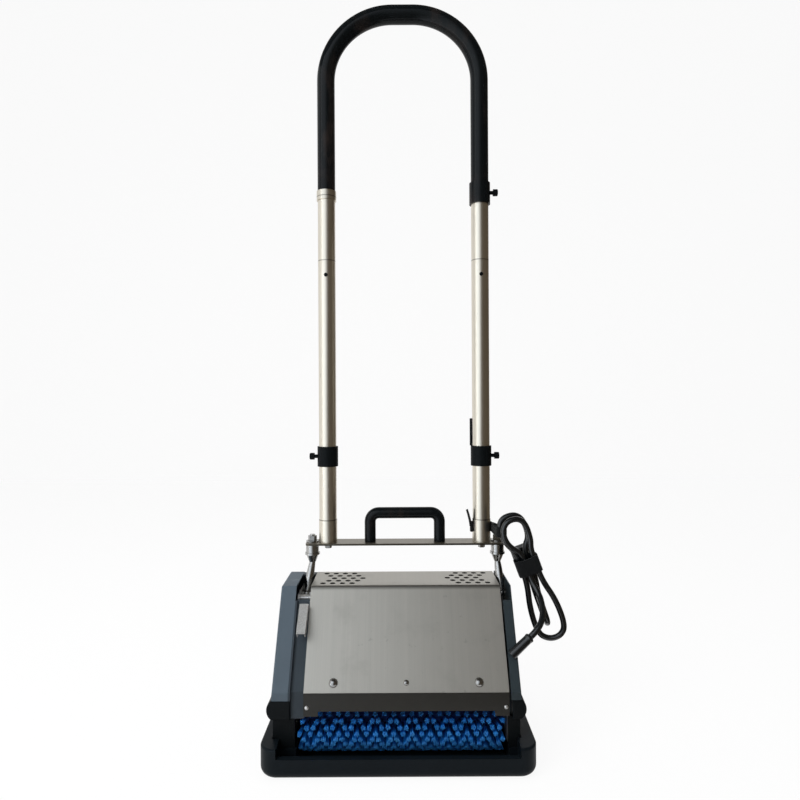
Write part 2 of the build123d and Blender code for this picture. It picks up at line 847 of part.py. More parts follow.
with BuildPart() as motor_shaft:
    rod_x(pulley_left, shaft_inside - bearing_width, 0, motor_axis_height, motor_shaft_radius)
motor_shaft.part.label = "motor_shaft"
export_step(motor_shaft.part, "parts/motor_shaft.step")

with BuildPart() as motor_pulley:
    rod_x(pulley_left, pulley_right, 0, motor_axis_height, motor_pulley_radius)
    rod_x(pulley_left, pulley_right, 0, motor_axis_height, motor_shaft_radius, Mode.SUBTRACT)
motor_pulley.part.label = "motor_pulley"
export_step(motor_pulley.part, "parts/motor_pulley.step")

with BuildPart() as idler_stud:
    rod_x(pulley_left, drive_plate_outer, idler_y, idler_height, idler_stud_radius)
    rod_x(pulley_right + belt_gap, drive_plate_outer, idler_y, idler_height, idler_head_radius)
    rod_x(pulley_left - idler_head, pulley_left, idler_y, idler_height, idler_head_radius)
idler_stud.part.label = "idler_stud"
export_step(idler_stud.part, "parts/idler_stud.step")

with BuildPart() as idler_pulley:
    idler_bore = idler_stud_radius + bearing_running_gap
    rod_x(pulley_left + belt_gap, pulley_right, idler_y, idler_height, idler_radius)
    rod_x(pulley_left + belt_gap, pulley_right, idler_y, idler_height, idler_bore, Mode.SUBTRACT)
idler_pulley.part.label = "idler_pulley"
export_step(idler_pulley.part, "parts/idler_pulley.step")

# Each pulley: Y, Z, radius, and 1 where the belt's inside runs on it or -1 where its back does
belt_pulleys = [
    (0.0, motor_axis_height, motor_pulley_radius, 1),
    (-brush_axis_y, brush_axis_height, brush_pulley_radius, 1),
    (brush_axis_y, brush_axis_height, brush_pulley_radius, -1),
    (idler_y, idler_height, idler_radius, 1),
]


def belt_line(inside_gap, back_gap):
    """Closed line round the pulleys: the common tangents and the arcs that join them."""
    wraps = []
    for y, z, radius, turn in belt_pulleys:
        wraps.append((y, z, radius + (inside_gap if turn > 0 else back_gap), turn))
    headings = []
    for here, after in zip(wraps, wraps[1:] + wraps[:1]):
        reach = hypot(after[0] - here[0], after[1] - here[1])
        bearing = atan2(after[1] - here[1], after[0] - here[0])
        headings.append(bearing + asin((here[3] * here[2] - after[3] * after[2]) / reach))

    def at(wrap, angle):
        return (wrap[0] + wrap[2] * cos(angle), wrap[1] + wrap[2] * sin(angle))

    for index, wrap in enumerate(wraps):
        flip = 0 if wrap[3] > 0 else pi
        arrive = headings[index - 1] - pi / 2 + flip
        leave = headings[index] - pi / 2 + flip
        sweep_angle = wrap[3] * ((wrap[3] * (leave - arrive)) % (2 * pi))
        ThreePointArc(at(wrap, arrive), at(wrap, arrive + sweep_angle / 2), at(wrap, leave))
        following = wraps[(index + 1) % len(wraps)]
        next_flip = 0 if following[3] > 0 else pi
        Line(at(wrap, leave), at(following, headings[index] - pi / 2 + next_flip))


belt_left = pulley_left + (pulley_width - belt_width) / 2
with BuildPart() as drive_belt:
    with BuildSketch(Plane.YZ.offset(belt_left)):
        with BuildLine():
            belt_line(belt_gap + belt_thickness, belt_gap)
        make_face()
        with BuildLine():
            belt_line(belt_gap, belt_gap + belt_thickness)
        make_face(mode=Mode.SUBTRACT)
    extrude(amount=belt_width)
drive_belt.part.label = "drive_belt"
export_step(drive_belt.part, "parts/drive_belt.step")


# Debris trays: open troughs behind the slopes, one over each brush
def trough_outline(inset, side):
    """Section of a trough whose outer wall lies on the hood's inner face."""
    bottom = debris_tray_bottom + inset
    outer = hood_sheet + inset
    top = debris_tray_top + inset
    return [
        (side * slope_y(bottom, outer), bottom),
        (side * (debris_tray_inner + inset), bottom),
        (side * (debris_tray_inner + inset), top),
        (side * slope_y(top, outer), top),
    ]


with BuildPart() as debris_trays:
    trough_left = hood_left + debris_tray_end_gap
    trough_right = hood_right - debris_tray_end_gap
    for side in (FRONT, REAR):
        side_prism(trough_outline(0, side), trough_left, trough_right)
        side_prism(
            trough_outline(debris_tray_sheet, side),
            trough_left + debris_tray_sheet,
            trough_right - debris_tray_sheet,
            Mode.SUBTRACT,
        )
debris_trays.part.label = "debris_trays"
export_step(debris_trays.part, "parts/debris_trays.step")


# Switch on the rear slope
with BuildPart() as switch_bezel:
    with Locations(slope_plane(switch_x, switch_height, REAR)):
        Box(bezel_width, bezel_length, bezel_thickness, align=(Align.CENTER, Align.CENTER, Align.MIN))
        Box(
            rocker_width + 2 * rocker_gap,
            2 * (rocker_radius + rocker_gap),
            3 * bezel_thickness,
            mode=Mode.SUBTRACT,
        )
    bezel_plane = slope_plane(switch_x, switch_height, REAR, bezel_thickness / 2)
    pin_reach = (rocker_width + bezel_width) / 4 + rocker_gap / 2
    pin_start = bezel_plane.origin - Vector(pin_reach, 0, 0)
    rod(pin_start, (1, 0, 0), rocker_pin_radius, 2 * pin_reach)
switch_bezel.part.label = "switch_bezel"
export_step(switch_bezel.part, "parts/switch_bezel.step")

with BuildPart() as switch_rocker:
    rocker_plane = Plane(
        bezel_plane.origin - Vector(rocker_width / 2, 0, 0),
        x_dir=bezel_plane.y_dir,
        z_dir=(1, 0, 0),
    )
    with BuildSketch(rocker_plane):
        Circle(rocker_radius)
        with BuildLine(mode=Mode.PRIVATE) as crown:
            Polyline(
                (-2 * rocker_radius, rocker_rise + rocker_radius * tan(radians(rocker_tilt))),
                (0, rocker_rise - rocker_radius * tan(radians(rocker_tilt)) / 2),
                (2 * rocker_radius, rocker_rise + rocker_radius * tan(radians(rocker_tilt))),
                (2 * rocker_radius, -rocker_rise),
                (-2 * rocker_radius, -rocker_rise),
                close=True,
            )
        make_face(crown.edges(), mode=Mode.INTERSECT)
        Circle(rocker_pin_radius + bearing_running_gap, mode=Mode.SUBTRACT)
    extrude(amount=rocker_width)
switch_rocker.part.label = "switch_rocker"
export_step(switch_rocker.part, "parts/switch_rocker.step")


# Handle release lever: folded channel that hangs from a pin in front of the left slot
lever_pin_height = hood_top_height - lever_pin_drop
lever_pin_y = -slope_y(lever_pin_height) - lever_pin_stand
lever_foot_y = lever_pin_y - lever_foot_reach
lever_foot_height = lever_pin_height - lever_foot_drop
lever_run = Vector(0, lever_foot_y - lever_pin_y, lever_foot_height - lever_pin_height)
lever_length = lever_run.length
lever_outward = Vector(0, lever_run.Z, -lever_run.Y).normalized()
lever_plane = Plane(
    Vector(lever_x, lever_pin_y, lever_pin_height),
    x_dir=(1, 0, 0),
    z_dir=lever_outward,
)
lever_top = 2 * lever_pin_radius + lever_sheet
with BuildPart() as release_lever:
    lever_skin = lever_plane.offset(3 * lever_pin_radius)
    with BuildSketch(lever_skin):
        with Locations((0, -lever_length / 2 + lever_top / 2)):
            Rectangle(lever_width, lever_length + lever_top)
    extrude(amount=-lever_flange - lever_sheet)
    with BuildSketch(lever_skin.offset(-lever_sheet)):
        with Locations((0, -lever_length / 2 + lever_top / 2)):
            Rectangle(lever_width - 2 * lever_sheet, lever_length + lever_top + 2 * lever_sheet)
    extrude(amount=-lever_flange - lever_sheet, mode=Mode.SUBTRACT)
    pin_hole = lever_pin_radius + lever_pin_gap
    hole_start = lever_x - lever_width
    rod_x(hole_start, lever_x + lever_width, lever_pin_y, lever_pin_height, pin_hole, Mode.SUBTRACT)
release_lever.part.label = "release_lever"
export_step(release_lever.part, "parts/release_lever.step")

with BuildPart() as lever_bracket:
    lug_half = lever_width / 2 - lever_sheet - lever_lug_gap
    lug_plane = slope_plane(lever_x, lever_pin_height, FRONT, -band_setback)
    lug_rise = (Vector(lever_x, lever_pin_y, lever_pin_height) - lug_plane.origin).dot(lug_plane.z_dir)
    lug_slide = (Vector(lever_x, lever_pin_y, lever_pin_height) - lug_plane.origin).dot(lug_plane.y_dir)
    with BuildSketch(lug_plane):
        with Locations((0, lug_slide)):
            Rectangle(2 * lug_half, 3 * lever_pin_radius)
    extrude(amount=lug_rise)
    rod_x(lever_x - lug_half, lever_x + lug_half, lever_pin_y, lever_pin_height, 1.5 * lever_pin_radius)
    pin_half = lever_width / 2 + lever_pin_gap
    rod_x(lever_x - pin_half, lever_x + pin_half, lever_pin_y, lever_pin_height, lever_pin_radius)
lever_bracket.part.label = "lever_bracket"
export_step(lever_bracket.part, "parts/lever_bracket.step")


# Handle yoke: pivot pins in the end plates, spindle legs, collars with studs, plate and nuts
with BuildPart() as pivot_pins:
    rod_x(drive_plate_outer, hood_left + hood_sheet, pivot_y, pivot_height, pivot_pin_radius)
    rod_x(drive_plate_outer - pivot_head, drive_plate_outer, pivot_y, pivot_height, pivot_head_radius)
    right_pin_end = right_ball_x + leg_ball_radius
    rod_x(hood_right - hood_sheet, right_pin_end, pivot_y, pivot_height, pivot_pin_radius)
    pin_head_from = hood_right - hood_sheet - pivot_head
    rod_x(pin_head_from, hood_right - hood_sheet, pivot_y, pivot_height, pivot_head_radius)
pivot_pins.part.label = "pivot_pins"
export_step(pivot_pins.part, "parts/pivot_pins.step")

leg_ends = ((left_ball_x, left_leg_x), (right_ball_x, right_leg_x))
with BuildPart() as spindle_legs:
    for ball_x, leg_x in leg_ends:
        ball = Vector(ball_x, pivot_y, pivot_height)
        head = Vector(leg_x, handle_y, collar_bottom)
        leg_axis = (head - ball).normalized()
        leg_end = (head - ball).length + collar_bottom_radius
        across = (Vector(1, 0, 0) - leg_axis * leg_axis.X).normalized()
        with BuildSketch(Plane(ball, x_dir=across, z_dir=across.cross(leg_axis))) as profile:
            with BuildLine():
                swell_at = leg_end / 2
                Line((0, leg_ball_radius / 2), (leg_neck_radius, leg_ball_radius / 2))
                ThreePointArc(
                    (leg_neck_radius, leg_ball_radius / 2),
                    (leg_swell_radius, swell_at),
                    (leg_neck_radius, leg_end),
                )
                Line((leg_neck_radius, leg_end), (0, leg_end))
                Line((0, leg_end), (0, leg_ball_radius / 2))
            make_face()
        revolve(profile.sketch, axis=Axis(ball, leg_axis))
        with Locations(ball):
            Sphere(leg_ball_radius)
        eye = pivot_pin_radius + pivot_running_gap
        eye_left = ball_x - 2 * leg_ball_radius
        eye_right = ball_x + 2 * leg_ball_radius
        rod_x(eye_left, eye_right, pivot_y, pivot_height, eye, Mode.SUBTRACT)
        rod_z(leg_x, handle_y, collar_bottom, plate_height, collar_flange_radius, Mode.SUBTRACT)
spindle_legs.part.label = "spindle_legs"
export_step(spindle_legs.part, "parts/spindle_legs.step")


def turned(x, y, points):
    """Solid of revolution about an upright axis, from (radius, height) points."""
    with BuildSketch(Plane((x, y, 0), x_dir=(1, 0, 0), z_dir=(0, -1, 0))) as profile:
        with BuildLine():
            Polyline(*points, close=True)
        make_face()
    revolve(profile.sketch, axis=Axis((x, y, 0), (0, 0, 1)))


def sleeve(x, y, bottom, top, outer, inner):
    """Plain upright tube."""
    turned(x, y, [(inner, bottom), (outer, bottom), (outer, top), (inner, top)])


collar_flange_top = collar_flange_height + collar_washer
with BuildPart() as leg_collars:
    for ball_x, leg_x in leg_ends:
        turned(
            leg_x,
            handle_y,
            [
                (0, collar_bottom),
                (collar_bottom_radius, collar_bottom),
                (collar_neck_radius, collar_flange_height),
                (collar_flange_radius, collar_flange_height),
                (collar_flange_radius, collar_flange_top),
                (collar_neck_radius, collar_flange_top),
                (collar_neck_radius, plate_height),
                (stud_radius, plate_height),
                (stud_radius, stud_top),
                (0, stud_top),
            ],
        )
leg_collars.part.label = "leg_collars"
export_step(leg_collars.part, "parts/leg_collars.step")

tube_places = ((left_tube_x, -1), (right_tube_x, 1))
with BuildPart() as yoke_plate:
    plate_half_width = leg_reach + yoke_plate_end
    block(
        (core_middle - plate_half_width, core_middle + plate_half_width),
        (handle_y - yoke_plate_depth / 2, handle_y + yoke_plate_depth / 2),
        (plate_height, plate_top),
    )
    fillet(yoke_plate.edges().filter_by(Axis.Z), yoke_plate_corner)
    for leg_x in (left_leg_x, right_leg_x):
        rod_z(leg_x, handle_y, plate_height, plate_top, stud_radius + thread_gap, Mode.SUBTRACT)
    for tube_x, outward in tube_places:
        rod_z(tube_x, handle_y, plate_height, plate_top, tube_bolt_radius + thread_gap, Mode.SUBTRACT)
yoke_plate.part.label = "yoke_plate"
export_step(yoke_plate.part, "parts/yoke_plate.step")

with BuildPart() as leg_nuts:
    washer_top = plate_top + nut_washer
    for leg_x in (left_leg_x, right_leg_x):
        rod_z(leg_x, handle_y, plate_top, washer_top, nut_washer_radius)
        with BuildSketch(Plane((leg_x, handle_y, washer_top))):
            RegularPolygon(nut_radius, 6)
        extrude(amount=nut_height)
        rod_z(leg_x, handle_y, plate_top, washer_top + nut_height, stud_radius + thread_gap, Mode.SUBTRACT)
leg_nuts.part.label = "leg_nuts"
export_step(leg_nuts.part, "parts/leg_nuts.step")


# Carry handle: round bar bent to a U, standing on the yoke plate
with BuildPart() as carry_handle:
    carry_line_top = plate_top + carry_height - carry_radius
    carry_left = core_middle - carry_spacing / 2
    carry_right = core_middle + carry_spacing / 2
    with BuildLine() as carry_line:
        FilletPolyline(
            (carry_left, handle_y, plate_top),
            (carry_left, handle_y, carry_line_top),
            (carry_right, handle_y, carry_line_top),
            (carry_right, handle_y, plate_top),
            radius=carry_bend_radius,
        )
    with BuildSketch(Plane((carry_left, handle_y, plate_top))):
        Circle(carry_radius)
    sweep()
carry_handle.part.label = "carry_handle"
export_step(carry_handle.part, "parts/carry_handle.step")


# Tube sockets on the plate, with the bolts that hold them from below
socket_top = plate_top + socket_height
tube_bore = tube_radius - tube_wall
spigot_radius = tube_bore - tube_fit
spigot_bore = spigot_radius - tube_wall
with BuildPart() as tube_sockets:
    for tube_x, outward in tube_places:
        rod_z(tube_x, handle_y, plate_top, socket_top, socket_radius)
        rod_z(tube_x, handle_y, socket_top, socket_top + socket_spigot, spigot_radius)
        bolt_bore = tube_bolt_radius + thread_gap
        rod_z(tube_x, handle_y, plate_top, plate_top + tube_bolt_reach, bolt_bore, Mode.SUBTRACT)
tube_sockets.part.label = "tube_sockets"
export_step(tube_sockets.part, "parts/tube_sockets.step")

with BuildPart() as tube_bolts:
    bolt_end = plate_top + tube_bolt_reach - tube_bolt_radius / 2
    for tube_x, outward in tube_places:
        rod_z(tube_x, handle_y, plate_height, bolt_end, tube_bolt_radius)
        with BuildSketch(Plane((tube_x, handle_y, plate_height - tube_bolt_head))):
            RegularPolygon(tube_bolt_head_radius, 6)
        extrude(amount=tube_bolt_head)
tube_bolts.part.label = "tube_bolts"
export_step(tube_bolts.part, "parts/tube_bolts.step")


# Lower and upper tubes, joined by a spigot with a snap button
button_height = tube_joint_height - button_drop
button_front = handle_y - tube_radius - button_proud
with BuildPart() as lower_tubes:
    for tube_x, outward in tube_places:
        sleeve(tube_x, handle_y, socket_top, tube_joint_height, tube_radius, tube_bore)
        rod(
            (tube_x, button_front, button_height),
            (0, 1, 0),
            button_radius + button_gap,
            tube_radius,
            Mode.SUBTRACT,
        )
lower_tubes.part.label = "lower_tubes"
export_step(lower_tubes.part, "parts/lower_tubes.step")

grip_bore = grip_radius - grip_wall
grip_spigot_radius = grip_bore - tube_fit
with BuildPart() as upper_tubes:
    for tube_x, outward in tube_places:
        turned(
            tube_x,
            handle_y,
            [
                (spigot_bore, tube_joint_height - joint_spigot),
                (spigot_radius, tube_joint_height - joint_spigot),
                (spigot_radius, tube_joint_height),
                (tube_radius, tube_joint_height),
                (tube_radius, grip_start),
                (grip_spigot_radius, grip_start),
                (grip_spigot_radius, grip_start + grip_spigot),
                (spigot_bore, grip_start + grip_spigot),
            ],
        )
        rod(
            (tube_x, button_front, button_height),
            (0, 1, 0),
            button_radius + button_gap,
            tube_radius,
            Mode.SUBTRACT,
        )
upper_tubes.part.label = "upper_tubes"
export_step(upper_tubes.part, "parts/upper_tubes.step")

flange_sag = spigot_bore - (spigot_bore**2 - button_flange_radius**2) ** 0.5
flange_front = handle_y - spigot_bore + flange_sag + button_gap
for button_side, tube_x in (("left", left_tube_x), ("right", right_tube_x)):
    with BuildPart() as snap_button:
        rod((tube_x, button_front, button_height), (0, 1, 0), button_radius, flange_front - button_front)
        rod((tube_x, flange_front, button_height), (0, 1, 0), button_flange_radius, button_flange)
        crown = snap_button.faces().sort_by(Axis.Y)[0]
        fillet(crown.edges(), button_proud * 0.6)
    snap_button.part.label = f"snap_button_{button_side}"
    export_step(snap_button.part, f"parts/snap_button_{button_side}.step")


# Grip: a U of tube over the upper tubes' ends, with a ferrule on the left and a collar on the right
with BuildPart() as grip:
    grip_line_top = grip_top - grip_radius
    with BuildLine() as grip_line:
        FilletPolyline(
            (left_tube_x, handle_y, grip_start),
            (left_tube_x, handle_y, grip_line_top),
            (right_tube_x, handle_y, grip_line_top),
            (right_tube_x, handle_y, grip_start),
            radius=grip_bend_radius,
        )
    with BuildSketch(Plane((left_tube_x, handle_y, grip_start))):
        Circle(grip_radius)
        Circle(grip_bore, mode=Mode.SUBTRACT)
    sweep()
grip.part.label = "grip"
export_step(grip.part, "parts/grip.step")


def grip_joint_sleeve(x, below, above, radius):
    """Sleeve over the seam between tube and grip, its bore stepped to both."""
    turned(
        x,
        handle_y,
        [
            (tube_radius + sleeve_fit, grip_start - below),
            (radius, grip_start - below),
            (radius, grip_start + above),
            (grip_radius + sleeve_fit, grip_start + above),
            (grip_radius + sleeve_fit, grip_start),
            (tube_radius + sleeve_fit, grip_start),
        ],
    )


with BuildPart() as grip_ferrule:
    grip_joint_sleeve(left_tube_x, ferrule_below, ferrule_above, ferrule_radius)
grip_ferrule.part.label = "grip_ferrule"
export_step(grip_ferrule.part, "parts/grip_ferrule.step")

knob_bore = knob_stem_radius + knob_running_gap
with BuildPart() as grip_collar:
    grip_joint_sleeve(right_tube_x, grip_collar_below, grip_collar_above, grip_collar_radius)
    rod_x(
        right_tube_x + grip_radius,
        right_tube_x + 2 * grip_radius,
        handle_y,
        grip_knob_height,
        knob_bore,
        Mode.SUBTRACT,
    )
grip_collar.part.label = "grip_collar"
export_step(grip_collar.part, "parts/grip_collar.step")

hook_knob_height = hook_collar_bottom + hook_collar_height / 2
with BuildPart() as hook_collars:
    hook_collar_top = hook_collar_bottom + hook_collar_height
    for tube_x, outward in tube_places:
        sleeve(
            tube_x,
            handle_y,
            hook_collar_bottom,
            hook_collar_top,
            hook_collar_radius,
            tube_radius + sleeve_fit,
        )
        rod(
            (tube_x + outward * tube_radius, handle_y, hook_knob_height),
            (outward, 0, 0),
            knob_bore,
            tube_radius,
            Mode.SUBTRACT,
        )
hook_collars.part.label = "hook_collars"
export_step(hook_collars.part, "parts/hook_collars.step")

# Thumb knobs: the stem starts just off the tube, the head stands clear of the collar
for knob_name, knob_x, outward, knob_height, seat_radius in (
    ("knob_left", left_tube_x, -1, hook_knob_height, tube_radius),
    ("knob_right", right_tube_x, 1, hook_knob_height, tube_radius),
    ("knob_grip", right_tube_x, 1, grip_knob_height, grip_radius),
):
    with BuildPart() as thumb_knob:
        stem_start = seat_radius + sleeve_fit + knob_seat_gap
        neck_start = hook_collar_radius + knob_stem
        rod(
            (knob_x + outward * stem_start, handle_y, knob_height),
            (outward, 0, 0),
            knob_stem_radius,
            neck_start - stem_start,
        )
        rod(
            (knob_x + outward * neck_start, handle_y, knob_height),
            (outward, 0, 0),
            knob_head_radius,
            knob_head,
        )
        far_end = Axis((0, 0, 0), (outward, 0, 0))
        fillet(thumb_knob.faces().sort_by(far_end)[-1].edges(), knob_head_radius / 4)
    thumb_knob.part.label = knob_name
    export_step(thumb_knob.part, f"parts/{knob_name}.step")

with BuildPart() as cord_hook:
    bar_reach = tube_radius + sleeve_fit + hook_bar_radius
    bar_x = right_tube_x - bar_reach * cos(radians(hook_bar_turn))
    bar_y = handle_y + bar_reach * sin(radians(hook_bar_turn))
    rod_z(bar_x, bar_y, hook_collar_top, hook_collar_top + hook_bar_height, hook_bar_radius)
cord_hook.part.label = "cord_hook"
export_step(cord_hook.part, "parts/cord_hook.step")


# Power cord: strain relief boot, free stretch to the handle, hank with its wrap, plug and strap
boot_way = Vector(*boot_direction).normalized()
boot_seat = slope_plane(boot_x, boot_height, FRONT)
boot_tip = boot_seat.origin + boot_way * boot_length
with BuildPart() as cord_boot:
    sunk = boot_base_radius * 2
    with Locations(Plane(boot_seat.origin - boot_way * sunk, z_dir=boot_way)):
        Cone(
            boot_base_radius + (boot_base_radius - boot_tip_radius) * sunk / boot_length,
            boot_tip_radius,
            boot_length + sunk,
            align=(Align.CENTER, Align.CENTER, Align.MIN),
        )
    with Locations(boot_seat):
        Box(
            4 * boot_length,
            4 * boot_length,
            boot_length,
            align=(Align.CENTER, Align.CENTER, Align.MAX),
            mode=Mode.SUBTRACT,
        )
cord_boot.part.label = "cord_boot"
export_step(cord_boot.part, "parts/cord_boot.step")

cord_radius = cord_diameter / 2
waist = Vector(waist_x, waist_y, waist_height)
hank_up = Vector(-sin(radians(hank_tilt)), 0, cos(radians(hank_tilt)))
hank_across = Vector(cos(radians(hank_tilt)), 0, sin(radians(hank_tilt)))
hank_deep = Vector(0, 1, 0)
hank_lead = Vector(*hank_lead_in).normalized()


def hank_point(up, across, deep):
    """Point of the hank in its own tilted frame, measured from the middle of its waist."""
    return waist + hank_up * up + hank_across * across + hank_deep * deep


# Places of the four strands in the waist: across and deep
left_strand = (-1.5 * hank_step, left_strand_depth)
lead_strand = (-0.5 * hank_step, 0.0)
tail_strand = (0.5 * hank_step, tail_strand_depth)
right_strand = (1.5 * hank_step, 0.0)

# Place where the strap holds the upper loop
strap_knot = (60.0, -22.5, 8.0)

# Knots of the hank: place in its own frame, and the way the cord runs there
hank_knots = [
    ((-44.0, -2.0, -14.0), hank_lead),
    ((-hank_straight, *lead_strand), hank_up),
    ((hank_straight, *lead_strand), hank_up),
    ((56.0, -17.0, -6.0), hank_up),
    ((75.0, 0.0, -3.0), hank_across),
    ((48.0, 16.5, -1.5), -hank_up),
    ((hank_straight, *right_strand), -hank_up),
    ((-hank_straight, *right_strand), -hank_up),
    ((-86.0, 22.0, 0.0), -hank_up),
    ((-117.0, 0.0, left_strand_depth / 2), -hank_across),
    ((-88.0, -21.0, left_strand_depth), hank_up),
    ((-hank_straight, *left_strand), hank_up),
    ((hank_straight, *left_strand), hank_up),
    (strap_knot, hank_up),
    ((79.0, -2.0, tail_strand_depth), hank_across),
    ((50.0, 17.0, tail_strand_depth), -hank_up),
    ((hank_straight, *tail_strand), -hank_up),
    ((-hank_straight, *tail_strand), -hank_up),
    ((-58.0, 0.0, 12.0), -hank_up),
    ((-102.0, -2.0, 26.0), hank_deep),
    ((-58.0, -1.0, 40.0), hank_up),
    ((-25.0, -1.0, 31.0), hank_up),
    ((-25.0 + cord_diameter, -1.0, 31.0), hank_up),
]


def biarc(start, start_way, end, end_way):
    """Two arcs that join smoothly and leave and arrive in the given directions."""
    chord = end - start
    if chord.cross(start_way).length < 1e-6 and chord.cross(end_way).length < 1e-6:
        Line(start, end)
        return []
    ways = start_way + end_way
    turn = 2 * (1 - start_way.dot(end_way))
    if turn < 1e-9:
        reach = chord.dot(chord) / (4 * chord.dot(end_way))
    else:
        along = chord.dot(ways)
        reach = (-along + (along**2 + turn * chord.dot(chord)) ** 0.5) / turn
    first = start + start_way * reach
    second = end - end_way * reach
    middle = (first + second) * 0.5
    arcs = [
        TangentArc(start, middle, tangent=start_way),
        TangentArc(middle, end, tangent=(second - first).normalized()),
    ]
    return [arc.radius for arc in arcs]


def least_gap(edges, diameter):
    """Least clear distance between parts of one tube that are not neighbours along it."""
    points = []
    travelled = 0.0
    for edge in edges:
        steps = max(2, int(edge.length / 1.5))
        for step in range(steps):
            points.append((travelled + edge.length * step / steps, edge.position_at(step / steps)))
        travelled += edge.length
    least = 1e9
    for index, (here, place) in enumerate(points):
        for there, other in points[index + 1 :]:
            if there - here > 3.5 * diameter:
                least = min(least, (other - place).length - diameter)
    return least, travelled


hank_radii = []
with BuildPart() as cord_hank:
    with BuildLine() as hank_line:
        for (place, way), (next_place, next_way) in zip(hank_knots, hank_knots[1:]):
            hank_radii += biarc(hank_point(*place), way, hank_point(*next_place), next_way)
    hank_start = hank_point(*hank_knots[0][0])
    with BuildSketch(Plane(hank_start, z_dir=hank_lead)):
        Circle(cord_radius)
    sweep(path=hank_line.wires()[0])
cord_hank.part.label = "cord_hank"
export_step(cord_hank.part, "parts/cord_hank.step")
hank_gap, hank_length = least_gap(hank_line.wires()[0].order_edges(), cord_diameter)
print("hank bend radii", [round(radius, 1) for radius in hank_radii])
print("hank least self-gap", round(hank_gap, 2), "length", round(hank_length, 1))
hank_section = pi * cord_radius**2
print("hank volume over section times length", round(cord_hank.part.volume / hank_section / hank_length, 4))

# Free stretch: straight where it leaves the boot and where it meets the hank, a smooth curve between
stretch_from = boot_tip + boot_way * cord_diameter
stretch_to = hank_start - hank_lead * cord_diameter


def stretch_point(share):
    """Point on the cubic curve between the two straight ends."""
    rest = 1 - share
    return (
        stretch_from * rest**3
        + (stretch_from + boot_way * boot_pull) * (3 * rest**2 * share)
        + (stretch_to - hank_lead * hank_pull) * (3 * rest * share**2)
        + stretch_to * share**3
    )


stretch_curve = [stretch_point(run / stretch_runs) for run in range(stretch_runs + 1)]
stretch_points = [boot_tip] + stretch_curve + [hank_start]
stretch_radii = []
for before, corner, after in zip(stretch_points, stretch_points[1:], stretch_points[2:]):
    into = (corner - before).normalized()
    out_of = (after - corner).normalized()
    half_turn = radians(into.get_angle(out_of)) / 2
    shorter = min((corner - before).length, (after - corner).length)
    stretch_radii.append(0.45 * shorter / tan(half_turn))
with BuildPart() as cord_stretch:
    with BuildLine() as stretch_line:
        FilletPolyline(*stretch_points, radius=stretch_radii)
    with BuildSketch(Plane(boot_tip, z_dir=stretch_points[1] - boot_tip)):
        Circle(cord_radius)
    sweep(path=stretch_line.wires()[0])
cord_stretch.part.label = "cord_stretch"
export_step(cord_stretch.part, "parts/cord_stretch.step")
stretch_length = stretch_line.wires()[0].length
print("stretch bend radii", [round(radius, 1) for radius in stretch_radii])
print("stretch points", [tuple(round(value, 2) for value in point) for point in stretch_points])
print("stretch length", round(stretch_length, 1))
stretch_fill = cord_stretch.part.volume / hank_section / stretch_length
print("stretch volume over section times length", round(stretch_fill, 4))

hank_plane = Plane(waist, x_dir=hank_across, z_dir=hank_up)
with BuildPart() as cord_wrap:
    wrap_width = 3 * hank_step + cord_diameter + 2 * wrap_gap
    wrap_depth = tail_strand_depth + cord_diameter + 2 * wrap_gap
    with BuildSketch(hank_plane.offset(-wrap_height / 2)):
        with Locations((0, tail_strand_depth / 2)):
            RectangleRounded(
                wrap_width + 2 * wrap_wall,
                wrap_depth + 2 * wrap_wall,
                wrap_corner_radius,
            )
            RectangleRounded(
                wrap_width,
                wrap_depth,
                wrap_corner_radius - wrap_wall,
                mode=Mode.SUBTRACT,
            )
    extrude(amount=wrap_height)
cord_wrap.part.label = "cord_wrap"
export_step(cord_wrap.part, "parts/cord_wrap.step")

plug_end_up, plug_across, plug_deep = hank_knots[-1][0]
with BuildPart() as cord_plug:
    plug_foot = plug_end_up + plug_neck
    with BuildSketch(hank_plane.offset(plug_foot)):
        with Locations((plug_across, plug_deep)):
            RectangleRounded(plug_width, plug_depth, plug_edge_radius)
    extrude(amount=plug_height)
    fillet(cord_plug.faces().sort_by(Axis((0, 0, 0), hank_up))[-1].edges(), plug_edge_radius / 2)
    rod(hank_point(plug_end_up, plug_across, plug_deep), hank_up, plug_neck_radius, plug_neck)
    for pin_side in (-1, 1):
        pin_foot = hank_point(
            plug_foot + plug_height / 2,
            plug_across + pin_side * plug_pin_spacing / 2,
            plug_deep + plug_depth / 2,
        )
        rod(pin_foot, hank_deep, plug_pin_radius, plug_pin_length)
cord_plug.part.label = "cord_plug"
export_step(cord_plug.part, "parts/cord_plug.step")

# Strap: flat band laid round the back of the right tube's socket. Its left end is folded on itself,
# its right end runs forward and closes round the nearer strand of the hank's upper loop.
strap_strand = hank_point(*strap_knot)
strap_end = (strap_strand.X + strap_slack / 2, strap_strand.Y)
strap_foot = (right_tube_x + socket_radius + strap_wall / 2, handle_y)
strap_neck = (
    strap_foot[0] + (strap_end[0] - strap_foot[0]) / 2,
    strap_foot[1] + (strap_end[1] - strap_foot[1]) / 2,
)


def strap_loop(start, start_radius, end_radius, mode):
    """Band drawn tight from its start round the strand."""
    with BuildSketch(Plane((0, 0, strap_bottom))) as loop:
        with Locations(start):
            Circle(start_radius)
        with Locations(strap_end):
            Circle(end_radius)
        make_hull()
    extrude(loop.sketch, amount=strap_width, mode=mode)


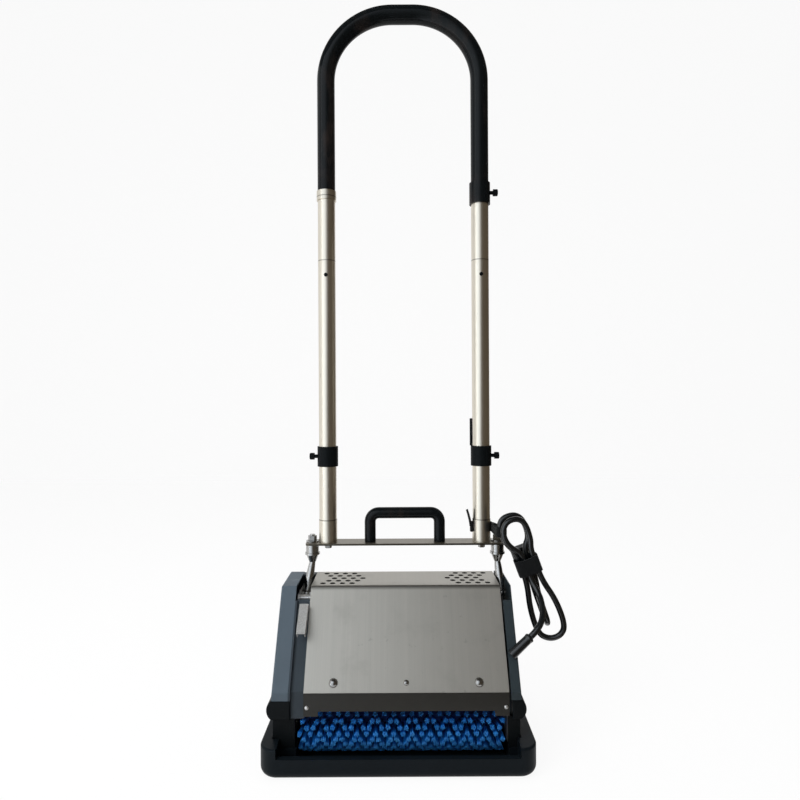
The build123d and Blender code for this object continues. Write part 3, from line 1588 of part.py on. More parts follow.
strap_hold = cord_radius + strap_gap + strap_slack
strap_outer = socket_radius + strap_wall
fold_reach = socket_radius + strap_wall / 4 + strap_fold_radius
fold_turn = radians(strap_fold_turn)
wrap_end = radians(strap_wrap)
open_reach = 3 * socket_radius
with BuildPart() as cord_strap:
    strap_loop(strap_foot, strap_wall / 2, strap_hold + strap_wall, Mode.ADD)
    strap_loop(strap_neck, strap_wall / 4, strap_hold, Mode.SUBTRACT)
    with BuildSketch(Plane((0, 0, strap_bottom))) as strap_back:
        with Locations((right_tube_x, handle_y)):
            Circle(strap_outer)
            Circle(socket_radius, mode=Mode.SUBTRACT)
        with BuildLine():
            Polyline(
                (right_tube_x, handle_y),
                (right_tube_x + open_reach * cos(wrap_end), handle_y + open_reach * sin(wrap_end)),
                (right_tube_x - open_reach, handle_y - open_reach),
                (right_tube_x + open_reach, handle_y - open_reach),
                (right_tube_x + open_reach, handle_y),
                close=True,
            )
        make_face(mode=Mode.SUBTRACT)
        with Locations((right_tube_x + fold_reach * cos(fold_turn), handle_y + fold_reach * sin(fold_turn))):
            Circle(strap_fold_radius)
    extrude(strap_back.sketch, amount=strap_width)
cord_strap.part.label = "cord_strap"
export_step(cord_strap.part, "parts/cord_strap.step")
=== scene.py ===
import json
import math

import bpy
import numpy as np
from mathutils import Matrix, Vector


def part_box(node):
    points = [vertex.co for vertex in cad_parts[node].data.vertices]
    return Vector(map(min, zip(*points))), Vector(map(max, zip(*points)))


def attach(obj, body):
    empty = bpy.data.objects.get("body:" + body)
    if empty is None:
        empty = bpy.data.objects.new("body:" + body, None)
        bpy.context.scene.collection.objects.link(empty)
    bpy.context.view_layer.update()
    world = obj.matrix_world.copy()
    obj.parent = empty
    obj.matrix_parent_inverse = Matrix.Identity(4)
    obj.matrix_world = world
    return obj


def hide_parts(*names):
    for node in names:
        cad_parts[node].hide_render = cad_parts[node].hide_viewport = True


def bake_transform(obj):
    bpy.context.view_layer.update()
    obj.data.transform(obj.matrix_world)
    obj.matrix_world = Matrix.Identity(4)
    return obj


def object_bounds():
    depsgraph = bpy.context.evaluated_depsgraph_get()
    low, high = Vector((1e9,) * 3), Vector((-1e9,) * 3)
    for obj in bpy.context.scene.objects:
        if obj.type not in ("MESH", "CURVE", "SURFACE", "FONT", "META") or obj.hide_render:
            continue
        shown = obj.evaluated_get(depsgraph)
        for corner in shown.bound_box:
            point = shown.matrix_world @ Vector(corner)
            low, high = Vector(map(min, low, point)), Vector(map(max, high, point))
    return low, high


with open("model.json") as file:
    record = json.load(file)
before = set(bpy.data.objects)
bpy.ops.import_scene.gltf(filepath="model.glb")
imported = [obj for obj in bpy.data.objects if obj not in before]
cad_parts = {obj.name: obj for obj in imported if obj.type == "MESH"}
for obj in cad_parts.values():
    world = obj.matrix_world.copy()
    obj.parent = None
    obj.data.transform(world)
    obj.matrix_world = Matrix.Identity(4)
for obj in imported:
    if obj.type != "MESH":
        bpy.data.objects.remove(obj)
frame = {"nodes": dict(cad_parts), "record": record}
CAD_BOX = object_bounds()

bl_info = {
    "name": "Carpet cleaning machine",
    "version": (1, 0, 0),
    "blender": (4, 5, 0),
    "location": "View3D > Sidebar > Carpet machine",
    "description": "Brushes, cord, straps, finishes and studio for a carpet cleaning machine",
    "category": "Object",
}

# Sockets of the Mix node that belong to colours
MIX_FACTOR, MIX_FIRST, MIX_SECOND, MIX_RESULT = 0, 6, 7, 2


# Shader helpers


class Field:
    """A shader socket. Operators between fields and numbers add Math nodes."""

    def __init__(self, finish, socket):
        self.finish = finish
        self.socket = socket

    def _math(self, operation, other=None, flipped=False):
        values = [self] if other is None else [other, self] if flipped else [self, other]
        return self.finish.node("ShaderNodeMath", {"operation": operation}, dict(enumerate(values)))

    def __add__(self, other):
        return self._math("ADD", other)

    __radd__ = __add__

    def __sub__(self, other):
        return self._math("SUBTRACT", other)

    def __rsub__(self, other):
        return self._math("SUBTRACT", other, True)

    def __mul__(self, other):
        return self._math("MULTIPLY", other)

    __rmul__ = __mul__

    def __truediv__(self, other):
        return self._math("DIVIDE", other)

    def __pow__(self, other):
        return self._math("POWER", other)

    def sine(self):
        return self._math("SINE")

    def size(self):
        return self._math("ABSOLUTE")

    def most(self, other):
        return self._math("MAXIMUM", other)


class Finish:
    """One material: a Principled shader whose inputs are fields or constants."""

    def __init__(self, name):
        self.material = bpy.data.materials.new(name)
        self.material.use_nodes = True
        self.nodes = self.material.node_tree.nodes
        self.links = self.material.node_tree.links
        self.nodes.clear()
        self.output = self.nodes.new("ShaderNodeOutputMaterial")
        self.shader = self.nodes.new("ShaderNodeBsdfPrincipled")
        self.links.new(self.shader.outputs[0], self.output.inputs[0])

    def node(self, kind, settings=None, inputs=None, output=0):
        """Add any node: settings first, then the values or links of its sockets."""
        made = self.nodes.new(kind)
        for name, value in (settings or {}).items():
            setattr(made, name, value)
        for key, value in (inputs or {}).items():
            if isinstance(value, Field):
                self.links.new(value.socket, made.inputs[key])
            else:
                made.inputs[key].default_value = value
        return Field(self, made.outputs[output])

    def place(self, stretch=(1.0, 1.0, 1.0)):
        """Object coordinates, stretched."""
        own = self.node("ShaderNodeTexCoord", output="Object")
        return self.node("ShaderNodeMapping", {}, {"Vector": own, "Scale": stretch})

    def along(self, axis, coordinate="Object"):
        """One coordinate of the piece, in metres, or of its UV map."""
        own = self.node("ShaderNodeTexCoord", output=coordinate)
        return self.node("ShaderNodeSeparateXYZ", {}, {0: own}, output=axis)

    def noise(self, scale, stretch=(1.0, 1.0, 1.0), detail=3.0, rough=0.55):
        """Cloudy value from 0 to 1, with scale in waves per metre."""
        place = self.place(stretch)
        inputs = {"Vector": place, "Scale": scale, "Detail": detail, "Roughness": rough}
        return self.node("ShaderNodeTexNoise", {}, inputs)

    def cells(self, scale):
        """Distance to the nearest of many scattered points, with scale in cells per metre."""
        inputs = {"Vector": self.place(), "Scale": scale}
        return self.node("ShaderNodeTexVoronoi", {"feature": "F1"}, inputs)

    def band(self, value, low, high):
        """Value rescaled so that low gives 0 and high gives 1, held there outside."""
        settings = {"interpolation_type": "SMOOTHSTEP"}
        inputs = {0: value, 1: low, 2: high, 3: 0.0, 4: 1.0}
        return self.node("ShaderNodeMapRange", settings, inputs)

    def blend(self, factor, first, second):
        """Colour between two colours."""
        made = self.nodes.new("ShaderNodeMix")
        made.data_type = "RGBA"
        for key, value in ((MIX_FACTOR, factor), (MIX_FIRST, first), (MIX_SECOND, second)):
            if isinstance(value, Field):
                self.links.new(value.socket, made.inputs[key])
            else:
                made.inputs[key].default_value = value if key == MIX_FACTOR else (*value[:3], 1.0)
        return Field(self, made.outputs[MIX_RESULT])

    def fixed(self, **values):
        """Constants on the shader's own sockets, with spaces in names given as underscores."""
        for name, value in values.items():
            socket = self.shader.inputs[name.replace("_", " ")]
            socket.default_value = (*value, 1.0) if isinstance(value, tuple) else value
        return self

    def feed(self, **fields):
        """Fields on the shader's own sockets."""
        for name, value in fields.items():
            self.links.new(value.socket, self.shader.inputs[name.replace("_", " ")])
        return self

    def relief(self, height, depth, strength):
        """Bump from a height field, with its depth in metres."""
        inputs = {"Height": height, "Distance": depth, "Strength": strength}
        return self.feed(Normal=self.node("ShaderNodeBump", {}, inputs))

    def seen(self):
        """1 for rays from the camera and for those that reflections and clear materials send on."""
        kinds = ("Is Camera Ray", "Is Glossy Ray", "Is Transmission Ray")
        camera, glossy, clear = (self.node("ShaderNodeLightPath", output=kind) for kind in kinds)
        return camera.most(glossy).most(clear)


class Sky(Finish):
    """The world's nodes, written in the same way."""

    def __init__(self, world):
        world.use_nodes = True
        self.nodes = world.node_tree.nodes
        self.links = world.node_tree.links
        self.nodes.clear()
        self.output = self.nodes.new("ShaderNodeOutputWorld")


def shade(colour, factor):
    """Colour made lighter or darker."""
    return tuple(min(1.0, channel * factor) for channel in colour[:3])


# Finishes

# Width over which a drawn edge fades, in metres
EDGE_BLUR = 0.0003


def moulded_finish(name, colour, grain, rough, shine=0.07, shade_from_x=None):
    """Moulded plastic: fine pebbled grain, clouds of colour and rubbed patches.

    Beyond the given x the piece is painted darker, as painted shade on the strip that the light from
    the left misses.
    """
    finish = Finish(name)
    clouds = finish.noise(14.0, detail=4.0)
    rubbed = finish.band(finish.noise(42.0, detail=5.0, rough=0.7), 0.56, 0.74)
    pebbles = finish.cells(grain)
    worn = finish.blend(clouds, shade(colour, 0.82), shade(colour, 1.16))
    toned = finish.blend(rubbed * 0.35, worn, shade(colour, 1.4))
    if shade_from_x:
        # Painted shade: the strip beyond this x is darkened because it faces away from the light from
        # the left
        shaded_strip = finish.band(finish.along(0), shade_from_x - EDGE_BLUR, shade_from_x + EDGE_BLUR)
        toned = finish.blend(shaded_strip, toned, shade(colour, 0.4))
    finish.feed(Base_Color=toned)
    finish.feed(Roughness=rough + clouds * 0.12 - rubbed * 0.1)
    finish.relief(pebbles, depth=0.00012, strength=0.5)
    return finish.fixed(Specular_IOR_Level=shine).material


def brushed_finish(name, colour, rough, waves, marks, painted_dark_band=None):
    """Brushed sheet: scratches with many waves across and few along, smudges and stains.

    A dark band painted at a bend or cut edge, for the dark room mirrored in a bend and the shade on an
    edge, is given by the heights where it starts, is full and ends, and its strength.
    """
    finish = Finish(name)
    grain = finish.noise(1.0, waves, detail=3.0, rough=0.6)
    broad = finish.noise(0.15, waves, detail=2.0)
    smudge = finish.band(finish.noise(19.0, detail=5.0, rough=0.62), 0.5, 0.72)
    stain = finish.band(finish.noise(70.0, detail=3.0), 0.66, 0.74)
    tone = finish.blend(grain * 0.6 + broad * 0.4, shade(colour, 0.86), shade(colour, 1.12))
    soiled = finish.blend(smudge * marks, tone, shade(colour, 0.72))
    stained = finish.blend(stain * marks, soiled, shade(colour, 0.5))
    if painted_dark_band:
        start, full, end, strength = painted_dark_band
        height = finish.along(2)
        # Painted reflection and shade: a dark band across the given heights
        dark_mask = finish.band(height, start, full) * (1.0 - finish.band(height, end - EDGE_BLUR, end))
        stained = finish.blend(dark_mask * strength, stained, shade(colour, 0.3))
    finish.feed(Base_Color=stained)
    finish.feed(Roughness=rough + grain * 0.1 + smudge * 0.12 * marks)
    finish.relief(grain, depth=0.00004, strength=0.35)
    return finish.fixed(Metallic=0.85).material


def satin_finish(name, colour, rough, seams):
    """Drawn tube: faint lines along it, a few handling marks, and painted shade in the seam at each
    given height.
    """
    finish = Finish(name)
    lines = finish.noise(1.0, (1400.0, 1400.0, 10.0), detail=2.0)
    clouds = finish.noise(11.0, detail=4.0)
    nicks = finish.band(finish.noise(160.0, (1.0, 1.0, 0.35), detail=2.0), 0.7, 0.78)
    tone = finish.blend(clouds, shade(colour, 0.92), shade(colour, 1.06))
    marked = finish.blend(nicks * 0.4, tone, shade(colour, 0.55))
    for seam in seams:
        # Painted shade: a dark line where the parts meet, at each seam's height
        seam_shade = 1.0 - finish.band((finish.along(2) - seam).size(), 0.0004, 0.0012)
        marked = finish.blend(seam_shade * 0.6, marked, shade(colour, 0.12))
    finish.feed(Base_Color=marked)
    finish.feed(Roughness=rough + lines * 0.1 + clouds * 0.06)
    finish.relief(lines, depth=0.00001, strength=0.2)
    return finish.fixed(Metallic=1.0).material


def cast_finish(name, colour):
    """Cast and tumbled metal: dull, speckled all over."""
    finish = Finish(name)
    speckle = finish.band(finish.noise(900.0, detail=3.0, rough=0.7), 0.35, 0.7)
    finish.feed(Base_Color=finish.blend(speckle, shade(colour, 0.7), shade(colour, 1.2)))
    finish.feed(Roughness=0.42 + speckle * 0.12)
    finish.relief(speckle, depth=0.0001, strength=0.5)
    return finish.fixed(Metallic=0.6, Specular_IOR_Level=0.3).material


def fitting_finish(name, colour, rough):
    """Plated or polished fitting: bright, with tarnish in soft spots."""
    finish = Finish(name)
    tarnish = finish.band(finish.noise(230.0, detail=4.0), 0.48, 0.75)
    turned = finish.noise(900.0, detail=1.0)
    finish.feed(Base_Color=finish.blend(tarnish * 0.5, colour, shade(colour, 0.5)))
    finish.feed(Roughness=rough + tarnish * 0.2 + turned * 0.05)
    finish.relief(turned, depth=0.00003, strength=0.25)
    return finish.fixed(Metallic=1.0).material


def painted_finish(name, colour, rough):
    """Painted metal: slight orange peel and dust."""
    finish = Finish(name)
    dust = finish.band(finish.noise(55.0, detail=5.0), 0.5, 0.8)
    peel = finish.noise(420.0, detail=1.0)
    finish.feed(Base_Color=finish.blend(dust * 0.4, colour, shade(colour, 1.6)))
    finish.feed(Roughness=rough + dust * 0.2)
    finish.relief(peel, depth=0.00005, strength=0.4)
    return finish.fixed(Specular_IOR_Level=0.3).material


def rubber_finish(name, colour, rough):
    """Soft black rubber: fine ripple, rubbed lighter in patches."""
    finish = Finish(name)
    rubbed = finish.band(finish.noise(33.0, detail=5.0, rough=0.65), 0.52, 0.8)
    ripple = finish.noise(700.0, detail=2.0)
    finish.feed(Base_Color=finish.blend(rubbed * 0.5, colour, shade(colour, 1.9)))
    finish.feed(Roughness=rough + rubbed * 0.16)
    finish.relief(ripple, depth=0.00006, strength=0.4)
    return finish.fixed(Specular_IOR_Level=0.5).material


# Brown that the grip shows where it is worn
WARM_WEAR = (0.035, 0.024, 0.02)


def grip_finish(name, colour):
    """Glossy sleeve over the handle: smooth, with long faint waves and warm wear."""
    finish = Finish(name)
    waves = finish.noise(26.0, (1.0, 1.0, 0.4), detail=4.0)
    worn = finish.band(waves, 0.5, 0.75)
    finish.feed(Base_Color=finish.blend(worn * 0.5, colour, WARM_WEAR))
    finish.feed(Roughness=0.24 + worn * 0.12)
    finish.relief(finish.noise(300.0, detail=2.0), depth=0.00005, strength=0.3)
    return finish.fixed(Specular_IOR_Level=0.03, Coat_Weight=0.22, Coat_Roughness=0.05).material


def flex_finish(name, colour):
    """Cord sheath: smooth, slightly glossy, with scuffs."""
    finish = Finish(name)
    scuff = finish.band(finish.noise(120.0, detail=4.0), 0.55, 0.78)
    finish.feed(Base_Color=finish.blend(scuff * 0.5, colour, shade(colour, 2.2)))
    finish.feed(Roughness=0.3 + scuff * 0.25)
    finish.relief(finish.noise(800.0, detail=1.0), depth=0.00004, strength=0.3)
    return finish.fixed(Specular_IOR_Level=0.3, Coat_Weight=0.8, Coat_Roughness=0.1).material


# Angle that the weave's waves turn through in a metre
WEAVE_TURN = 4200.0


def strap_finish(name, colour):
    """Woven tie: crossed threads on the piece's own UV map, in metres, with lint."""
    finish = Finish(name)
    across = (finish.along(0, "UV") * WEAVE_TURN).sine()
    down = (finish.along(1, "UV") * WEAVE_TURN).sine()
    weave = (across * down) * 0.5 + 0.5
    lint = finish.band(finish.noise(500.0, detail=4.0), 0.55, 0.8)
    pale = weave * 0.5 + lint * 0.4
    finish.feed(Base_Color=finish.blend(pale, shade(colour, 0.7), shade(colour, 1.9)))
    finish.feed(Roughness=0.8 + lint * 0.15)
    finish.relief(weave, depth=0.0002, strength=0.7)
    return finish.fixed(Specular_IOR_Level=0.15, Sheen_Weight=0.06, Sheen_Roughness=0.5).material


# Least and most bright painted highlight on a tuft's tips
LIT_TIP_BLUES = ((0.03, 0.28, 0.78), (0.06, 0.38, 0.92))


def bristle_finish(name, colour):
    """Nylon filament: painted shade towards the core, a painted highlight at the tips, each tuft its
    own shade.
    """
    finish = Finish(name)
    tip = finish.node("ShaderNodeAttribute", {"attribute_name": "tip"}, output="Fac")
    tint = finish.node("ShaderNodeAttribute", {"attribute_name": "tint"}, output="Fac")
    # Painted shade: the filaments darken towards the core, where the tufts hide each other from the
    # light
    body = finish.blend(finish.band(tip, 0.3, 0.85), shade(colour, 0.4), colour)
    tip_highlight = finish.blend(tint, *LIT_TIP_BLUES)
    finish.feed(Base_Color=finish.blend(finish.band(tip, 0.8, 1.0), body, tip_highlight))
    finish.feed(Roughness=0.34 + tint * 0.12)
    return finish.fixed(Specular_IOR_Level=0.25).material


# Painted dark bands, for the dark room mirrored in the hood's bend and the shade on the yoke plate's
# front edge: heights where each starts, is full and ends, and how strong it is
HOOD_BEND_SHADE = (0.2295, 0.2342, 0.2358, 0.9)
YOKE_EDGE_SHADE = (0.2850, 0.2860, 0.2898, 0.95)
# Waves per metre of the brushing in x, y and z
BRUSHED_UP = (900.0, 7.0, 7.0)
BRUSHED_ACROSS = (7.0, 900.0, 900.0)
# Heights of the drawn seams, with painted shade in each join, and the x from which the drive case's
# inner strip is painted darker as shade
TUBE_SEAMS = (0.326, 0.743)
FERRULE_SEAMS = (0.8462,)
CASE_SHADE_FROM_X = -0.154

# Finish of each slot: its maker, the colour and how much lighter or darker, and its other values
FINISHES = {
    "tray_plastic": (moulded_finish, "tray", 1.0, dict(grain=1100.0, rough=0.36)),
    "hood_steel": (
        brushed_finish,
        "steel",
        1.0,
        dict(rough=0.36, waves=BRUSHED_UP, marks=0.3, painted_dark_band=HOOD_BEND_SHADE),
    ),
    "cover_plastic": (moulded_finish, "cover", 1.0, dict(grain=1000.0, rough=0.42, shine=0.2)),
    "black_plastic": (moulded_finish, "black", 1.0, dict(grain=1300.0, rough=0.38)),
    "plated_steel": (brushed_finish, "plated", 1.0, dict(rough=0.3, waves=BRUSHED_ACROSS, marks=0.5)),
    "bright_steel": (fitting_finish, "plated", 0.72, dict(rough=0.16)),
    "tube_metal": (satin_finish, "tube", 1.0, dict(rough=0.26, seams=TUBE_SEAMS)),
    "grip_rubber": (grip_finish, "black", 1.0, {}),
    "bristle_blue": (bristle_finish, "bristle", 1.0, {}),
    "core_plastic": (moulded_finish, "core", 1.0, dict(grain=800.0, rough=0.5)),
    "belt_rubber": (rubber_finish, "black", 1.0, dict(rough=0.6)),
    "cord_rubber": (flex_finish, "black", 1.0, {}),
    "motor_metal": (painted_finish, "cover", 1.0, dict(rough=0.42)),
    "strap_fabric": (strap_finish, "strap", 1.0, {}),
    "switch_red": (moulded_finish, "rocker", 1.0, dict(grain=1500.0, rough=0.25)),
    # Painted reflection: the lip strip is stainless steel, made dark for the dark floor that it mirrors
    "lip_metal": (painted_finish, "lip", 1.0, dict(rough=0.36)),
    "ferrule_metal": (satin_finish, "tube", 0.9, dict(rough=0.24, seams=FERRULE_SEAMS)),
    "screw_steel": (fitting_finish, "plated", 0.62, dict(rough=0.2)),
    "lever_cast": (cast_finish, "plated", 0.75, {}),
    "yoke_steel": (
        brushed_finish,
        "yoke",
        1.0,
        dict(rough=0.3, waves=BRUSHED_ACROSS, marks=0.5, painted_dark_band=YOKE_EDGE_SHADE),
    ),
    # Drive case: the cover plastic painted lighter as light from the left, its inner strip painted
    # darker as shade
    "case_plastic": (
        moulded_finish,
        "case",
        1.0,
        dict(grain=1000.0, rough=0.42, shine=0.2, shade_from_x=CASE_SHADE_FROM_X),
    ),
}

# Solids whose finish differs from the rest of their slot
OWN_FINISHES = {
    "drive_case": "case_plastic",
    "carry_handle": "grip_rubber",
    "cord_plug": "black_plastic",
    "grip_collar": "grip_rubber",
    "grip_ferrule": "ferrule_metal",
    "release_lever": "lever_cast",
    "hood_screws": "screw_steel",
    "tube_bolts": "screw_steel",
    "leg_nuts": "screw_steel",
    "yoke_plate": "yoke_steel",
    "cord_hook": "black_plastic",
    # Painted shade: the snap buttons are likely metal and only look dark in shadow, so they get black
    # plastic
    "snap_button_left": "black_plastic",
    "snap_button_right": "black_plastic",
}


def finish_of(slot):
    """The material of a record slot, made on first use."""
    if slot not in bpy.data.materials or "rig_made" not in bpy.data.materials[slot]:
        stale = bpy.data.materials.get(slot)
        if stale is not None:
            stale.name = slot + "_plain"
        maker, colour, factor, values = FINISHES[slot]
        base = getattr(bpy.context.scene.carpet_colours, colour)
        made = maker(slot, shade(base, factor), **values)
        made.name = slot
        made["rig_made"] = 1
    return bpy.data.materials[slot]


# Mesh helpers


def sheet_mesh(points, closed=False):
    """Quads over a grid of points: rows run along u, columns along v; closed joins each row's ends."""
    rows, columns = points.shape[:2]
    u = np.arange(rows - 1)[:, None]
    v = np.arange(columns if closed else columns - 1)[None, :]
    index = lambda i, j: i * columns + j % columns
    quads = np.stack([index(u, v), index(u, v + 1), index(u + 1, v + 1), index(u + 1, v)], axis=-1)
    return points.reshape(-1, 3), quads.reshape(-1, 4).tolist()


def mesh_object(name, vertices, faces, material):
    """Mesh object in the shared frame."""
    mesh = bpy.data.meshes.new(name)
    mesh.from_pydata(vertices, [], faces)
    mesh.materials.append(material)
    made = bpy.data.objects.new(name, mesh)
    bpy.context.scene.collection.objects.link(made)
    return made


def piece_from(name, vertices, faces, slot, body):
    """Smooth piece of the machine with the finish of a slot, which rides a body, if any."""
    piece = mesh_object(name, vertices.tolist(), faces, finish_of(slot))
    mesh = piece.data
    mesh.validate()
    mesh.polygons.foreach_set("use_smooth", np.full(len(mesh.polygons), True))
    if body:
        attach(piece, body)
    return piece


def way_frames(path):
    """Two normals of a path that turn with it as little as possible."""
    step = np.gradient(path, axis=0)
    tangent = step / np.linalg.norm(step, axis=1, keepdims=True)
    normal = np.zeros_like(path)
    start = np.cross(tangent[0], (0.0, 1.0, 0.0))
    normal[0] = start / np.linalg.norm(start)
    for i in range(1, len(path)):
        carried = normal[i - 1] - tangent[i] * (normal[i - 1] @ tangent[i])
        normal[i] = carried / np.linalg.norm(carried)
    return normal, np.cross(tangent, normal)


def tube_points(path, radius, sides):
    """Circle carried along a path: place + radius (cos angle x one normal + sin angle x the other).

    The radius is one number or one for each place.
    """
    normal, other = way_frames(path)
    angle = np.linspace(0.0, 2.0 * np.pi, sides, endpoint=False)
    radius = np.broadcast_to(radius, len(path))[:, None, None]
    cosine, sine = np.cos(angle)[None, :, None], np.sin(angle)[None, :, None]
    ring = cosine * normal[:, None] + sine * other[:, None]
    return path[:, None] + radius * ring


def tube_mesh(grid):
    """Quads over the rings of a tube and a fan of triangles over its first and last ring."""
    rows, columns = grid.shape[:2]
    vertices, faces = sheet_mesh(grid, closed=True)
    first = vertices[:columns].mean(axis=0)
    last = vertices[-columns:].mean(axis=0)
    around = np.arange(columns)
    after = (around + 1) % columns
    base = (rows - 1) * columns
    count = len(vertices)
    fan_first = np.stack([np.full(columns, count), after, around], axis=1)
    fan_last = np.stack([np.full(columns, count + 1), base + around, base + after], axis=1)
    return np.vstack([vertices, first, last]), faces + fan_first.tolist() + fan_last.tolist()


def map_in_metres(piece, along, across):
    """UV map from two arrays with one value per vertex."""
    mesh = piece.data
    corners = np.zeros(len(mesh.loops), dtype=np.int32)
    mesh.loops.foreach_get("vertex_index", corners)
    places = np.stack([along, across], axis=1)[corners]
    layer = mesh.uv_layers.new(name="metres")
    layer.data.foreach_set("uv", places.astype(np.float32).ravel())


def point_value(piece, name, values):
    """Named value on every vertex, for a finish to read."""
    layer = piece.data.attributes.new(name, "FLOAT", "POINT")
    layer.data.foreach_set("value", np.asarray(values, dtype=np.float32).ravel())


def run_of(line):
    """Way covered along a line up to each of its places."""
    return np.concatenate([[0.0], np.cumsum(np.linalg.norm(np.diff(line, axis=0), axis=1))])


def thicken(piece, thickness):
    """Give a sheet its wall, half to each side."""
    wall = piece.modifiers.new("wall", "SOLIDIFY")
    wall.thickness = thickness
    wall.offset = 0.0


# Sizes and colours that a user would change


def colour_of(label, default):
    """Colour property of a finish."""
    return bpy.props.FloatVectorProperty(
        name=label,
        description=f"Base colour of the {label.lower()}",
        subtype="COLOR",
        size=3,
        min=0.0,
        max=1.0,
        default=default,
    )


def length_of(label, about, default):
    """Length property in metres."""
    return bpy.props.FloatProperty(
        name=label, description=about, default=default, min=0.0, unit="LENGTH"
    )


def count_of(label, about, default, least, most):
    """Whole number property."""
    return bpy.props.IntProperty(name=label, description=about, default=default, min=least, max=most)


class CarpetColours(bpy.types.PropertyGroup):
    """Base colours of the finishes"""

    tray: colour_of("Tray", (0.005, 0.0075, 0.0098))
    steel: colour_of("Hood steel", (0.45, 0.432, 0.392))
    cover: colour_of("Right cover", (0.022, 0.031, 0.036))
    # Painted light: the drive case is the cover's plastic, made lighter because light from the left
    # falls on it
    case: colour_of("Drive case", (0.070, 0.092, 0.114))
    black: colour_of("Black plastic", (0.0036, 0.0048, 0.0055))
    plated: colour_of("Plated steel", (0.6, 0.595, 0.58))
    yoke: colour_of("Yoke plate", (0.19, 0.168, 0.130))
    tube: colour_of("Handle tubes", (0.72, 0.67, 0.575))
    bristle: colour_of("Bristles", (0.006, 0.15, 0.56))
    core: colour_of("Brush core", (0.004, 0.02, 0.11))
    strap: colour_of("Strap cloth", (0.004, 0.0045, 0.005))
    rocker: colour_of("Switch rocker", (0.42, 0.02, 0.015))
    # Painted reflection: the lip strip is stainless steel, made dark for the dark floor that it mirrors
    lip: colour_of("Lip strip", (0.0135, 0.0122, 0.0098))


class CarpetSizes(bpy.types.PropertyGroup):
    """Sizes of the pieces that this scene adds"""

    cord_diameter: length_of("Cord diameter", "Outside diameter of the power cord", 0.009)
    cord_length: length_of("Cord length", "Length of the power cord from boot to plug", 0.959)
    boot_base: length_of("Boot base radius", "Radius of the strain relief at the cover", 0.0072)
    boot_tip: length_of("Boot tip radius", "Radius of the strain relief at the cord", 0.0064)
    wrap_width: length_of("Wrap width", "Width of the cloth wound round the hank", 0.025)
    strap_width: length_of("Strap width", "Width of the strap from hank to tube", 0.0155)
    cloth: length_of("Cloth thickness", "Thickness of the wrap and the strap", 0.0014)
    tuft_base: length_of("Tuft base radius", "Radius of a tuft where it leaves the backing", 0.0016)
    tuft_tip: length_of("Tuft tip radius", "Radius of a tuft at its tips", 0.0036)
    filament: length_of("Filament radius", "Radius of one bristle", 0.00055)
    filaments: count_of("Filaments", "Bristles in one tuft", 14, 3, 24)
    tuft_rows: count_of("Tuft rows", "Rows of tufts round a brush", 33, 6, 60)
    tuft_periods: count_of("Tuft periods", "Repeats of the tuft pattern along a brush", 11, 2, 30)


# Power cord: places of the route in metres

CORD_STEPS = 10
CORD_SIDES = 16

HANK_WAIST = np.array((0.202, -0.028, 0.262))
HANK_TILT = math.radians(20.0)
HANK_FRAME = np.array(
    (
        (-math.sin(HANK_TILT), 0.0, math.cos(HANK_TILT)),
        (math.cos(HANK_TILT), 0.0, math.sin(HANK_TILT)),
        (0.0, 1.0, 0.0),
    )
)
# Free stretch from the boot to the hank
STRETCH_POINTS = [
    (0.19148, -0.08682, 0.17587),
    (0.19822, -0.08592, 0.18176),
    (0.20797, -0.08038, 0.19212),
    (0.21329, -0.06973, 0.20132),
    (0.21543, -0.05799, 0.20895),
    (0.21562, -0.04919, 0.21458),
    (0.21517, -0.0420, 0.21997),
]

# Boot: its axis, the outward normal of the cover's sloped face, its mesh and the lip near its tip
BOOT_SEAT = np.array((0.163, -0.0906, 0.151))
BOOT_TIP = np.array(STRETCH_POINTS[0])
SLOPE_NORMAL = np.array((0.0, -126.0, 78.0)) / math.hypot(126.0, 78.0)
BOOT_RINGS = 60
BOOT_SIDES = 40
LIP_HEIGHT = 0.0007
LIP_SHARE = 0.93
LIP_SPREAD = 0.045
# Share of the boot that is rounded off at its tip, and the radius left at the very end
ROUNDED_SHARE = 0.05
END_RADIUS = 0.72

